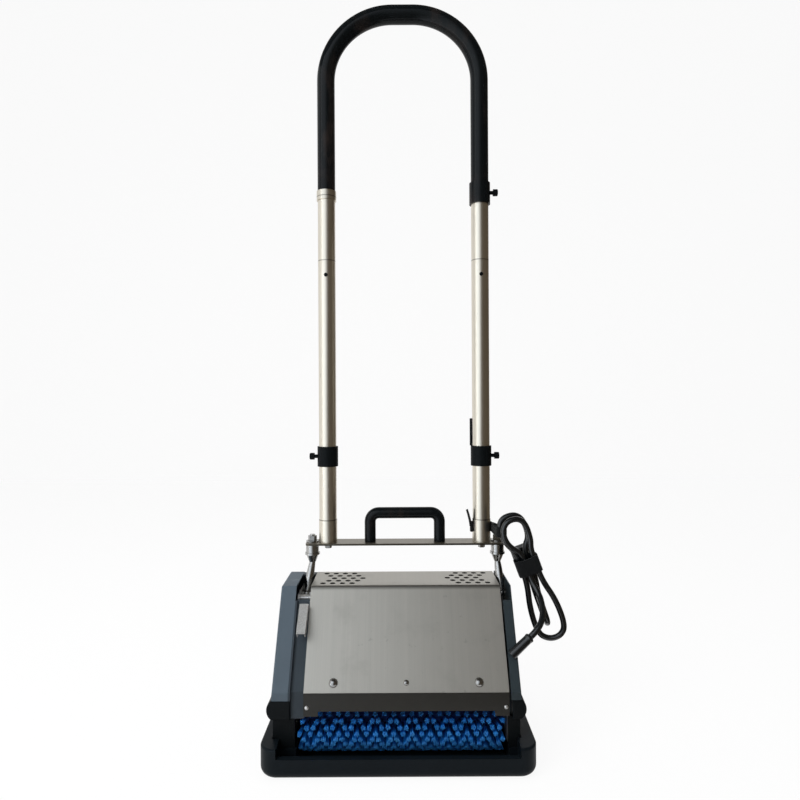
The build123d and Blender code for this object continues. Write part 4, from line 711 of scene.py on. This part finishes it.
# Hank, in its own frame: up, across and deep from the waist
HANK_POINTS = [
    # lead up through the waist and round the inner upper loop
    (-0.030, -0.0036, -0.0025),
    (-0.016, -0.0038, 0.0),
    (0.002, -0.0038, 0.0),
    (0.0225, -0.0045, 0.0),
    (0.0405, -0.0200, -0.0060),
    (0.0630, -0.0215, -0.0058),
    (0.0762, -0.0105, -0.0042),
    (0.0762, 0.0065, -0.0028),
    (0.0655, 0.0172, -0.0020),
    (0.0385, 0.0168, -0.0015),
    # down the right strand and round the lower loop
    (0.0235, 0.0114, 0.0),
    (0.0, 0.0114, 0.0),
    (-0.028, 0.0114, 0.0),
    (-0.064, 0.0208, 0.0),
    (-0.106, 0.0208, 0.0004),
    (-0.119, 0.0085, 0.0024),
    (-0.119, -0.0090, 0.0050),
    (-0.106, -0.0225, 0.0070),
    (-0.066, -0.0210, 0.0072),
    # up the left strand and round the outer upper loop
    (-0.028, -0.0114, 0.0072),
    (0.0, -0.0114, 0.0072),
    (0.024, -0.0114, 0.0072),
    (0.046, -0.0225, 0.0078),
    (0.070, -0.0221, 0.0084),
    (0.081, -0.0120, 0.0094),
    (0.080, 0.0080, 0.0098),
    (0.067, 0.0175, 0.0098),
    (0.040, 0.0170, 0.0098),
    # down the tail strand, folded back and up into the plug
    (0.026, 0.0038, 0.0098),
    (0.0, 0.0038, 0.0098),
    (-0.028, 0.0038, 0.0098),
    (-0.046, 0.0, 0.0120),
    (-0.0822, -0.0012, 0.0120),
    (-0.0938, -0.0015, 0.0120),
    (-0.1022, -0.0020, 0.0202),
    (-0.1022, -0.0020, 0.0318),
    (-0.0938, -0.0015, 0.0400),
    (-0.0822, -0.0012, 0.0400),
    (-0.054, -0.0010, 0.0400),
    (-0.040, -0.0010, 0.0342),
    (-0.027, -0.0010, 0.0310),
    (-0.016, -0.0010, 0.0310),
]


def hank_places(points):
    """Points of the hank's own frame, put into the shared frame."""
    return HANK_WAIST + np.asarray(points) @ HANK_FRAME


def smooth_line(points, steps):
    """Places along one NURBS spline of order 3 that has the points as its control points."""
    curve = bpy.data.curves.new("cord_line", "CURVE")
    curve.dimensions = "3D"
    spline = curve.splines.new("NURBS")
    spline.points.add(len(points) - 1)
    placed = np.ones((len(points), 4))
    placed[:, :3] = points
    spline.points.foreach_set("co", placed.ravel())
    spline.order_u = 3
    spline.use_endpoint_u = True
    spline.resolution_u = steps
    holder = bpy.data.objects.new("cord_line", curve)
    bpy.context.scene.collection.objects.link(holder)
    bpy.context.view_layer.update()
    line = bpy.data.meshes.new_from_object(holder)
    places = np.zeros(len(line.vertices) * 3)
    line.vertices.foreach_get("co", places)
    bpy.data.objects.remove(holder)
    bpy.data.curves.remove(curve)
    bpy.data.meshes.remove(line)
    return places.reshape(-1, 3)


# Operators, one for each piece or group of like pieces


class CARPET_OT_finishes(bpy.types.Operator):
    """Give every solid of the frame the finish of its slot"""

    bl_idname = "carpet.finishes"
    bl_label = "Finishes"

    def execute(self, context):
        for entry in frame["record"]["subparts"]:
            node = entry["node"]
            materials = frame["nodes"][node].data.materials
            materials.clear()
            materials.append(finish_of(OWN_FINISHES.get(node, entry["material_slot"])))
        return {"FINISHED"}


class CARPET_OT_cord(bpy.types.Operator):
    """Sweep the power cord from its boot through the hank to its plug"""

    bl_idname = "carpet.cord"
    bl_label = "Power cord"

    def execute(self, context):
        sizes = context.scene.carpet_sizes
        route = np.vstack([STRETCH_POINTS, hank_places(HANK_POINTS)])
        path = smooth_line(route, CORD_STEPS)
        grid = tube_points(path, sizes.cord_diameter / 2, CORD_SIDES)
        cord = piece_from("power_cord", *tube_mesh(grid), "cord_rubber", None)
        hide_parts("cord_stretch", "cord_hank")
        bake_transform(cord)
        return {"FINISHED"}


class CARPET_OT_boot(bpy.types.Operator):
    """Mould the strain relief boot where the cord leaves the right cover"""

    bl_idname = "carpet.boot"
    bl_label = "Strain relief boot"

    def execute(self, context):
        grid = self.rings(context.scene.carpet_sizes)
        boot = piece_from("strain_relief", *tube_mesh(grid), "cord_rubber", "machine")
        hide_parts("cord_boot")
        return {"FINISHED"}

    def rings(self, sizes):
        """Rings of an even taper plus a bell-shaped lip, times the square root of a fall to the tip.

        The lower points slide along the axis until none lies behind the cover's sloped face.
        """
        reach = np.linalg.norm(BOOT_TIP - BOOT_SEAT)
        way = (BOOT_TIP - BOOT_SEAT) / reach
        share = np.linspace(0.0, 1.0, BOOT_RINGS)
        taper = sizes.boot_base + (sizes.boot_tip - sizes.boot_base) * share
        lip = LIP_HEIGHT * np.exp(-(((share - LIP_SHARE) / LIP_SPREAD) ** 2))
        rounding = np.clip((1.0 - share) / ROUNDED_SHARE, 0.0, 1.0)
        radius = (taper + lip) * (END_RADIUS + (1.0 - END_RADIUS) * np.sqrt(rounding))
        grid = tube_points(BOOT_SEAT + np.outer(share * reach, way), radius, BOOT_SIDES)
        behind = np.minimum((grid - BOOT_SEAT) @ SLOPE_NORMAL, 0.0)
        return grid - (behind / (way @ SLOPE_NORMAL))[..., None] * way


# Wrap: its turns and where they start, its half axes round the strands and the depth of its middle
WRAP_TURNS = (-0.12, 1.22)
WRAP_START = 2.2
WRAP_ACROSS = 0.0172
WRAP_DEEP = 0.0108
WRAP_MIDDLE = 0.0049
# Cloth thicknesses that a turn adds, the turn over which an end is rounded, and the width left there
WRAP_LAYER = 1.25
ROUNDED_TURN = 0.035
WRAP_END_WIDTH = 0.78
WRAP_RIPPLE = 0.0006
WRAP_STEPS = 150
WRAP_COLUMNS = 13


class CARPET_OT_wrap(bpy.types.Operator):
    """Wind the cloth wrap round the waist of the hank"""

    bl_idname = "carpet.wrap"
    bl_label = "Hank wrap"

    def execute(self, context):
        sizes = context.scene.carpet_sizes
        grid, aside = self.winding(sizes)
        wrap = piece_from("hank_wrap", *sheet_mesh(grid), "strap_fabric", "handle")
        run = run_of(grid[:, WRAP_COLUMNS // 2])
        map_in_metres(wrap, np.repeat(run, WRAP_COLUMNS), aside.ravel())
        thicken(wrap, sizes.cloth)
        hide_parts("cord_wrap")
        return {"FINISHED"}

    def winding(self, sizes):
        """Places of the cloth, and how far aside of its middle line each of them is.

        Round the strands it is a superellipse: a half axis, which grows with the turns, times the
        signed square root of the angle's cosine or sine. Its ends are cut round and its edges ripple.
        """
        first, last = WRAP_TURNS
        turns = np.linspace(first, last, WRAP_STEPS)[:, None]
        over = np.linspace(-0.5, 0.5, WRAP_COLUMNS)[None, :]
        angle = 2.0 * np.pi * turns - WRAP_START
        grow = sizes.cloth * WRAP_LAYER * turns
        root = lambda wave: np.sign(wave) * np.sqrt(np.abs(wave))
        across = (WRAP_ACROSS + grow) * root(np.cos(angle))
        deep = WRAP_MIDDLE + (WRAP_DEEP + grow) * root(np.sin(angle))
        ends = np.clip(np.minimum(turns - first, last - turns) / ROUNDED_TURN, 0.0, 1.0)
        rounding = np.sqrt(1.0 - (1.0 - ends) ** 2)
        aside = sizes.wrap_width * (WRAP_END_WIDTH + (1.0 - WRAP_END_WIDTH) * rounding) * over
        up = aside + WRAP_RIPPLE * np.sin(5.0 * angle) * np.abs(over)
        return hank_places(np.stack(np.broadcast_arrays(up, across, deep), axis=-1)), aside


# Strap: the middle of the right tube, the reach of the loop round the strand, its fold and its waves
TUBE_X, TUBE_Y = 0.1355, 0.0195
LOOP_REACH = 0.0083
STRAP_FOLD = 0.0012
STRAP_WAVE = 0.0004
STRAP_WAVES = 19.0
STRAP_STEPS = 220
STRAP_COLUMNS = 9
# Degrees round the tube where the free end starts, the hem lies and the way round the back starts
FREE_END, HEM, BACK_START = 168.0, 196.0, 195.0
HEM_TURN = (197.0, 375.0)
ARC_STEPS = 60
# Share of the way back to the tube that the end covers
END_LAP = 0.88

# Tail: width and length, how much it narrows, leans out and rises, and where it starts on the fold
TAIL_WIDTH, TAIL_LENGTH = 0.0105, 0.027
TAIL_TAPER = 0.003
TAIL_LEAN, TAIL_LEAN_POWER = 0.006, 1.4
TAIL_RISE = 0.026
TAIL_GAP, TAIL_FORWARD, TAIL_DROP = 0.0022, 0.002, 0.006
# How much of its width runs in x and in y
TAIL_FACING = (0.35, 0.94)
TAIL_STEPS = 24
TAIL_COLUMNS = 7


def arc(x, y, radius, turns):
    """Places on a circle: middle + radius x (cosine, sine) of each turn."""
    return np.stack([x + radius * np.cos(turns), y + radius * np.sin(turns)], axis=1)


def sweep(start, end):
    """Even turns between two angles in degrees."""
    return np.radians(np.linspace(start, end, ARC_STEPS))


def strap_line(tube, strand):
    """Way of the strap from above, evenly stepped, and its length. Circles are (x, y, radius).

    It starts in a fold on the tube's left, lies on an arc round the tube's back, runs straight to
    the strand's circle, follows that arc and comes straight back on itself.
    """
    x, y, radius = tube
    strand_x, strand_y, strand_radius = strand
    hem = arc(x, y, radius + STRAP_FOLD, np.radians([HEM]))[0]
    foot = np.array((x + radius, y))
    back = foot - (strand_x, strand_y)
    middle = math.atan2(back[1], back[0])
    opening = math.acos(strand_radius / np.linalg.norm(back))
    loop_turns = np.linspace(middle + opening, middle - opening + 2.0 * np.pi, ARC_STEPS)
    loop = arc(*strand, loop_turns)
    line = np.vstack(
        [
            arc(x, y, radius + 2.0 * STRAP_FOLD, sweep(FREE_END, BACK_START)),
            arc(*hem, STRAP_FOLD, sweep(*HEM_TURN)),
            arc(x, y, radius, sweep(BACK_START, 0.0)),
            loop,
            loop[-1] + END_LAP * (foot - loop[-1]),
        ]
    )
    run = run_of(line)
    even = np.linspace(0.0, run[-1], STRAP_STEPS)
    return np.stack([np.interp(even, run, side) for side in line.T], axis=1), float(run[-1])


class CARPET_OT_strap(bpy.types.Operator):
    """Tie the hank's upper loop to the right tube with a cloth strap and its free tail"""

    bl_idname = "carpet.strap"
    bl_label = "Hank strap"

    def execute(self, context):
        sizes = context.scene.carpet_sizes
        low, high = (np.array(corner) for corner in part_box("cord_strap"))
        wall = sizes.cloth / 2
        tube = (TUBE_X, TUBE_Y, high[1] - TUBE_Y - wall)
        strand = (high[0] - LOOP_REACH, low[1] + LOOP_REACH, LOOP_REACH - wall)
        line, length = strap_line(tube, strand)
        over = np.linspace(-0.5, 0.5, STRAP_COLUMNS)
        grid = np.empty((STRAP_STEPS, STRAP_COLUMNS, 3))
        grid[..., :2] = line[:, None]
        grid[..., 2] = (low[2] + high[2]) / 2 + sizes.strap_width * over
        grid[..., 2] += STRAP_WAVE * np.sin(np.linspace(0.0, STRAP_WAVES, STRAP_STEPS))[:, None]
        strap = piece_from("hank_strap", *sheet_mesh(grid), "strap_fabric", "handle")
        run = np.linspace(0.0, length, STRAP_STEPS)
        aside = np.tile(over * sizes.strap_width, STRAP_STEPS)
        map_in_metres(strap, np.repeat(run, STRAP_COLUMNS), aside)
        thicken(strap, sizes.cloth)
        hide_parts("cord_strap")
        self.tail(sizes, tube, high[2])
        return {"FINISHED"}

    def tail(self, sizes, tube, top):
        """Free end: a strip that narrows evenly and rises evenly from the fold.

        It leans out from the tube by a power of its share of the way up.
        """
        share = np.linspace(0.0, 1.0, TAIL_STEPS)[:, None]
        over = np.linspace(-0.5, 0.5, TAIL_COLUMNS)[None, :]
        aside = (TAIL_WIDTH - TAIL_TAPER * share) * over
        lean = TAIL_LEAN * share**TAIL_LEAN_POWER
        x = tube[0] - tube[2] - TAIL_GAP - lean + TAIL_FACING[0] * aside
        y = tube[1] - TAIL_FORWARD + TAIL_FACING[1] * aside
        z = top - TAIL_DROP + TAIL_RISE * share
        grid = np.stack(np.broadcast_arrays(x, y, z), axis=-1)
        tail = piece_from("strap_tail", *sheet_mesh(grid), "strap_fabric", "handle")
        map_in_metres(tail, np.repeat(TAIL_LENGTH * share, TAIL_COLUMNS), aside.ravel())
        thicken(tail, sizes.cloth)


# Brushes: places of a row's two tufts in its period, the angle of the first row, the bare ends
ROW_PLACES = np.array(((-0.5, 0.0), (-0.33, 0.33), (-0.17, 0.17)))
FIRST_ROW = math.radians(155.0)
BARE_END = 0.004
# How far the tips stay inside the CAD's tufts and the roots stand off the core
TIP_INSET = 0.0004
ROOT_OUTSET = 0.0008
# Chance: first seed, spread of tufts along and round the brush, swirl, loss of a filament's length
FIRST_SEED = 7
ALONG_SPREAD = 0.0003
TURN_SPREAD = 0.006
SWIRL_SPREAD = 6.283
SHORTEST_BY = 0.0012
# Filaments: angle from spot to spot, rings as shares of the length, how a tuft fans out
SPOT_ANGLE = 2.39996
RING_SHARES = np.array((0.0, 0.8, 1.0))
FAN_POWER = 1.3
CORNERS = 3
# Lean of the end tufts, and how far the filaments may pass the CAD's tufts at the left and right
END_LEAN, END_LEAN_POWER = 0.006, 12
PAST_LEFT, PAST_RIGHT = 0.002, 0.001


def filament_faces(count):
    """Quads between the rings of every filament and a triangle on each tip."""
    rings = len(RING_SHARES)
    base = rings * CORNERS * np.arange(count)[:, None, None]
    low_ring = base + CORNERS * np.arange(rings - 1)[None, :, None]
    high_ring = low_ring + CORNERS
    here = np.arange(CORNERS)
    after = (here + 1) % CORNERS
    corners = [low_ring + here, high_ring + here, high_ring + after, low_ring + after]
    tips = base.reshape(-1, 1) + rings * CORNERS - 1 - here
    return np.stack(corners, axis=-1).reshape(-1, 4).tolist() + tips.tolist()


class CARPET_OT_brushes(bpy.types.Operator):
    """Plant the tufts of both brushes"""

    bl_idname = "carpet.brushes"
    bl_label = "Brush tufts"

    def execute(self, context):
        sizes = context.scene.carpet_sizes
        for seed, side in enumerate(("front", "rear")):
            self.plant(sizes, side, np.random.default_rng(seed + FIRST_SEED))
        return {"FINISHED"}

    def plant(self, sizes, side, chance):
        """Tufts on rows round the core, two to a period: by turns evenly apart, as pairs, and as pairs
        half a period on.

        A filament runs from a spot on the tuft's small base disc to the like spot on its tip disc.
        """
        low, high = (np.array(corner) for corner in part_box(f"{side}_brush_bristles"))
        axle_low, axle_high = (np.array(corner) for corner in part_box(f"{side}_brush_core"))
        axis_y, axis_z = (axle_low + axle_high)[1:] / 2
        tip_radius = (high[1] - low[1]) / 2 - TIP_INSET
        root_radius = (axle_high[1] - axle_low[1]) / 2 + ROOT_OUTSET
        period = (high[0] - low[0] - 2.0 * BARE_END) / sizes.tuft_periods
        rows = np.arange(sizes.tuft_rows)
        places = period * ROW_PLACES[rows % len(ROW_PLACES)]
        middle = low[0] + BARE_END + period * (np.arange(sizes.tuft_periods) + 0.5)
        along = (middle[None, :, None] + places[:, None]).reshape(len(rows), -1)
        turn = np.repeat(FIRST_ROW + 2.0 * np.pi * rows / len(rows), along.shape[1])
        along = along.ravel() + chance.normal(0.0, ALONG_SPREAD, turn.size)
        turn = turn + chance.normal(0.0, TURN_SPREAD, turn.size)
        tint = chance.uniform(0.0, 1.0, turn.size)
        # Sunflower spots fill both discs evenly
        count = sizes.filaments
        spot = np.sqrt((np.arange(count) + 0.5) / count)
        swirl = np.arange(count) * SPOT_ANGLE + chance.uniform(0.0, SWIRL_SPREAD, turn.size)[:, None]
        spread = sizes.tuft_base + (sizes.tuft_tip - sizes.tuft_base) * RING_SHARES**FAN_POWER
        out = root_radius + (tip_radius - root_radius) * RING_SHARES
        short = chance.uniform(0.0, SHORTEST_BY, (turn.size, count))
        lean = (along - (low[0] + high[0]) / 2) / ((high[0] - low[0]) / 2)
        lean = END_LEAN * np.sign(lean) * np.abs(lean) ** END_LEAN_POWER
        # Axes: tuft, filament, ring, corner
        corner = 2.0 * np.pi * np.arange(CORNERS) / CORNERS
        x = along[:, None, None] + (spot * np.cos(swirl))[..., None] * spread
        x = x + lean[:, None, None] * RING_SHARES
        x = x[..., None] + sizes.filament * np.cos(corner)
        x = np.clip(x, low[0] - PAST_LEFT, high[0] + PAST_RIGHT)
        slide = ((spot * np.sin(swirl))[..., None] * spread)[..., None]
        slide = slide + sizes.filament * np.sin(corner)
        radius = (out - short[..., None] * RING_SHARES)[..., None]
        radius = np.sqrt(np.maximum(radius**2 - slide**2, 0.0))
        cosine, sine = (wave(turn)[:, None, None, None] for wave in (np.cos, np.sin))
        y = axis_y + radius * cosine - slide * sine
        z = axis_z + radius * sine + slide * cosine
        vertices = np.stack([x, y, z], axis=-1).reshape(-1, 3)
        faces = filament_faces(turn.size * count)
        name = f"{side}_brush_tufts"
        brush = piece_from(name, vertices, faces, "bristle_blue", f"{side}_brush")
        point_value(brush, "tip", np.broadcast_to(RING_SHARES[None, None, :, None], x.shape))
        point_value(brush, "tint", np.broadcast_to(tint[:, None, None, None], x.shape))
        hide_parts(f"{side}_brush_bristles")


# Studio

# Glow of the room's parts
LIT_WALL, DIM_WALL = (0.93, 1.0, 1.08), (0.068, 0.057, 0.043)
WINDOW = (2.7, 2.75, 2.8)
LIT_CEILING, DIM_CEILING = (0.6, 0.57, 0.52), (0.05, 0.045, 0.04)
# The room: reach of its floor's rings, radius of its wall, and heights over the ground
FLOOR_REACH = (0.34, 0.8, 1.5, 2.2)
WALL_RADIUS = 2.5
FLOOR_HEIGHT, WALL_HEIGHT, CEILING_HEIGHT = 0.002, 0.4, 2.9
# The paper: half its width and front edge, its back edge and its height
PAPER_SIDE, PAPER_BACK, PAPER_TOP = 4.0, 3.0, 5.0


def paper_finish(name, shadow):
    """Paper that the camera and reflections see as white, with a share of its shadows kept."""
    finish = Finish(name)
    glow = finish.node("ShaderNodeEmission", {}, {"Color": (1.0, 1.0, 1.0, 1.0), "Strength": 1.0})
    paper = Field(finish, finish.shader.outputs[0])
    inputs = {0: finish.seen() * (1.0 - shadow), 1: paper, 2: glow}
    finish.links.new(finish.node("ShaderNodeMixShader", {}, inputs).socket, finish.output.inputs[0])
    return finish.fixed(Base_Color=(0.94, 0.94, 0.94), Roughness=0.9).material


def stage_sheet(name, corners, material):
    """Flat sheet of the studio, given by its four corners."""
    sheet = mesh_object(name, corners, [(0, 1, 2, 3)], material)


def lamp(name, place, aim, size, power, colour):
    """Square soft lamp that faces a point and shows in no reflection."""
    light = bpy.data.lights.new(name, "AREA")
    light.size = size
    light.energy = power
    light.color = colour
    holder = bpy.data.objects.new(name, light)
    bpy.context.scene.collection.objects.link(holder)
    holder.location = place
    holder.rotation_euler = (Vector(aim) - Vector(place)).to_track_quat("-Z", "Y").to_euler()
    holder.visible_glossy = False


def glow_finish(finish, colour, strength):
    """Material that only glows, in a given colour field."""
    finish.feed(Emission_Color=colour)
    finish.fixed(Base_Color=(0.0, 0.0, 0.0), Specular_IOR_Level=0.0, Emission_Strength=strength)
    return finish.material


def room_finish(name):
    """Glow of the room in front: a window far left, bright to the left, dark to the right.

    The line between bright and dark lies further right higher up.
    """
    finish = Finish(name)
    x, y, z = (finish.along(axis) for axis in range(3))
    side = x / (x * x + y * y) ** 0.5
    dim = finish.band(side - (z - 0.5) * 0.124, -0.6, 0.2)
    walls = finish.blend(dim, LIT_WALL, DIM_WALL)
    window = finish.band(side, -0.84, -0.87)
    return glow_finish(finish, finish.blend(window, walls, WINDOW), 1.5)


def ceiling_finish(name):
    """Glow of the room overhead: dark, lighter towards the back."""
    finish = Finish(name)
    back = finish.band(finish.along(1), 0.2, 2.6)
    return glow_finish(finish, finish.blend(back, DIM_CEILING, LIT_CEILING), 1.0)


def room_part(name, reach, height, turns, material):
    """Profile of reaches and heights turned round the upright axis, which only reflections see."""
    turn = np.radians(turns)[:, None]
    grid = np.stack([reach * np.sin(turn), -reach * np.cos(turn), height + 0.0 * turn], axis=-1)
    vertices, faces = sheet_mesh(grid)
    part = mesh_object(name, vertices.tolist(), faces, material)
    part.visible_camera = part.visible_diffuse = part.visible_shadow = False


def build_room(ground):
    """Floor, rounded wall and ceiling of the room in front of the machine and above it."""
    rise = np.radians(np.linspace(-8.0, 52.0, 22))
    reach = np.concatenate([FLOOR_REACH, WALL_RADIUS * np.cos(rise)])
    low = np.full(len(FLOOR_REACH), ground + FLOOR_HEIGHT)
    height = np.concatenate([low, ground + WALL_HEIGHT + WALL_RADIUS * np.sin(rise)])
    turns = np.linspace(-62.0, 140.0, 52)
    room_part("studio_room", reach, height, turns, room_finish("studio_room"))
    over = np.linspace(0.02, 2.6, 14)
    level = np.full(len(over), ground + CEILING_HEIGHT)
    turns = np.linspace(-180.0, 180.0, 73)
    room_part("studio_ceiling", over, level, turns, ceiling_finish("studio_ceiling"))


class CARPET_OT_stage(bpy.types.Operator):
    """Set up the pale studio, its lamps and the camera"""

    bl_idname = "carpet.stage"
    bl_label = "Studio and camera"

    def execute(self, context):
        scene = context.scene
        scene.view_settings.view_transform = "Standard"
        ground = CAD_BOX[0][2]
        paper = paper_finish("studio_paper", shadow=0.08)
        edge = lambda y, z: [(-PAPER_SIDE, y, z), (PAPER_SIDE, y, z)]
        join = edge(PAPER_BACK, ground)
        stage_sheet("studio_floor", edge(-PAPER_SIDE, ground) + join[::-1], paper)
        stage_sheet("studio_wall", join + edge(PAPER_BACK, PAPER_TOP)[::-1], paper)
        build_room(ground)
        if scene.world is None:
            scene.world = bpy.data.worlds.new("studio_air")
        sky = Sky(scene.world)
        air = {"Color": (0.97, 0.985, 1.0, 1.0), "Strength": 0.3 + sky.seen() * 0.7}
        sky.links.new(sky.node("ShaderNodeBackground", {}, air).socket, sky.output.inputs[0])
        cool, white, warm = (0.97, 0.99, 1.0), (1.0, 1.0, 1.0), (1.0, 0.94, 0.86)
        lamp("key_lamp", (-1.5, -1.5, 1.9), (0.0, 0.0, 0.35), size=1.4, power=46.0, colour=cool)
        lamp("top_lamp", (-0.2, 0.1, 2.4), (0.0, 0.0, 0.3), size=1.2, power=22.0, colour=white)
        lamp("fill_lamp", (1.2, -1.9, 0.7), (0.0, 0.0, 0.4), size=1.2, power=3.0, colour=warm)
        view = bpy.data.cameras.new("photo_camera")
        view.lens = 27.0
        view.sensor_width = 36.0
        view.shift_y = 0.0010
        camera = bpy.data.objects.new("photo_camera", view)
        scene.collection.objects.link(camera)
        camera.location = (0.0048, -0.952, 0.517)
        camera.rotation_euler = (math.radians(90.0), math.radians(0.3), 0.0)
        scene.camera = camera
        return {"FINISHED"}


class CARPET_PT_panel(bpy.types.Panel):
    """Steps, sizes and colours of the carpet cleaning machine"""

    bl_idname = "CARPET_PT_panel"
    bl_label = "Carpet machine"
    bl_space_type = "VIEW_3D"
    bl_region_type = "UI"
    bl_category = "Carpet machine"

    def draw(self, context):
        for step in STEPS:
            self.layout.operator(step.bl_idname)
        for group in (context.scene.carpet_sizes, context.scene.carpet_colours):
            box = self.layout.box()
            for name in group.__annotations__:
                box.prop(group, name)


STEPS = (
    CARPET_OT_finishes,
    CARPET_OT_cord,
    CARPET_OT_boot,
    CARPET_OT_wrap,
    CARPET_OT_strap,
    CARPET_OT_brushes,
    CARPET_OT_stage,
)
CLASSES = (CarpetColours, CarpetSizes, *STEPS, CARPET_PT_panel)


def register():
    for made in CLASSES:
        bpy.utils.register_class(made)
    bpy.types.Scene.carpet_colours = bpy.props.PointerProperty(type=CarpetColours)
    bpy.types.Scene.carpet_sizes = bpy.props.PointerProperty(type=CarpetSizes)


def unregister():
    del bpy.types.Scene.carpet_sizes
    del bpy.types.Scene.carpet_colours
    for made in reversed(CLASSES):
        bpy.utils.unregister_class(made)


def main():
    """Make every piece and the studio."""
    register()
    bpy.ops.carpet.finishes()
    bpy.ops.carpet.cord()
    bpy.ops.carpet.boot()
    bpy.ops.carpet.wrap()
    bpy.ops.carpet.strap()
    bpy.ops.carpet.brushes()
    bpy.ops.carpet.stage()


if __name__ == "__main__":
    main()
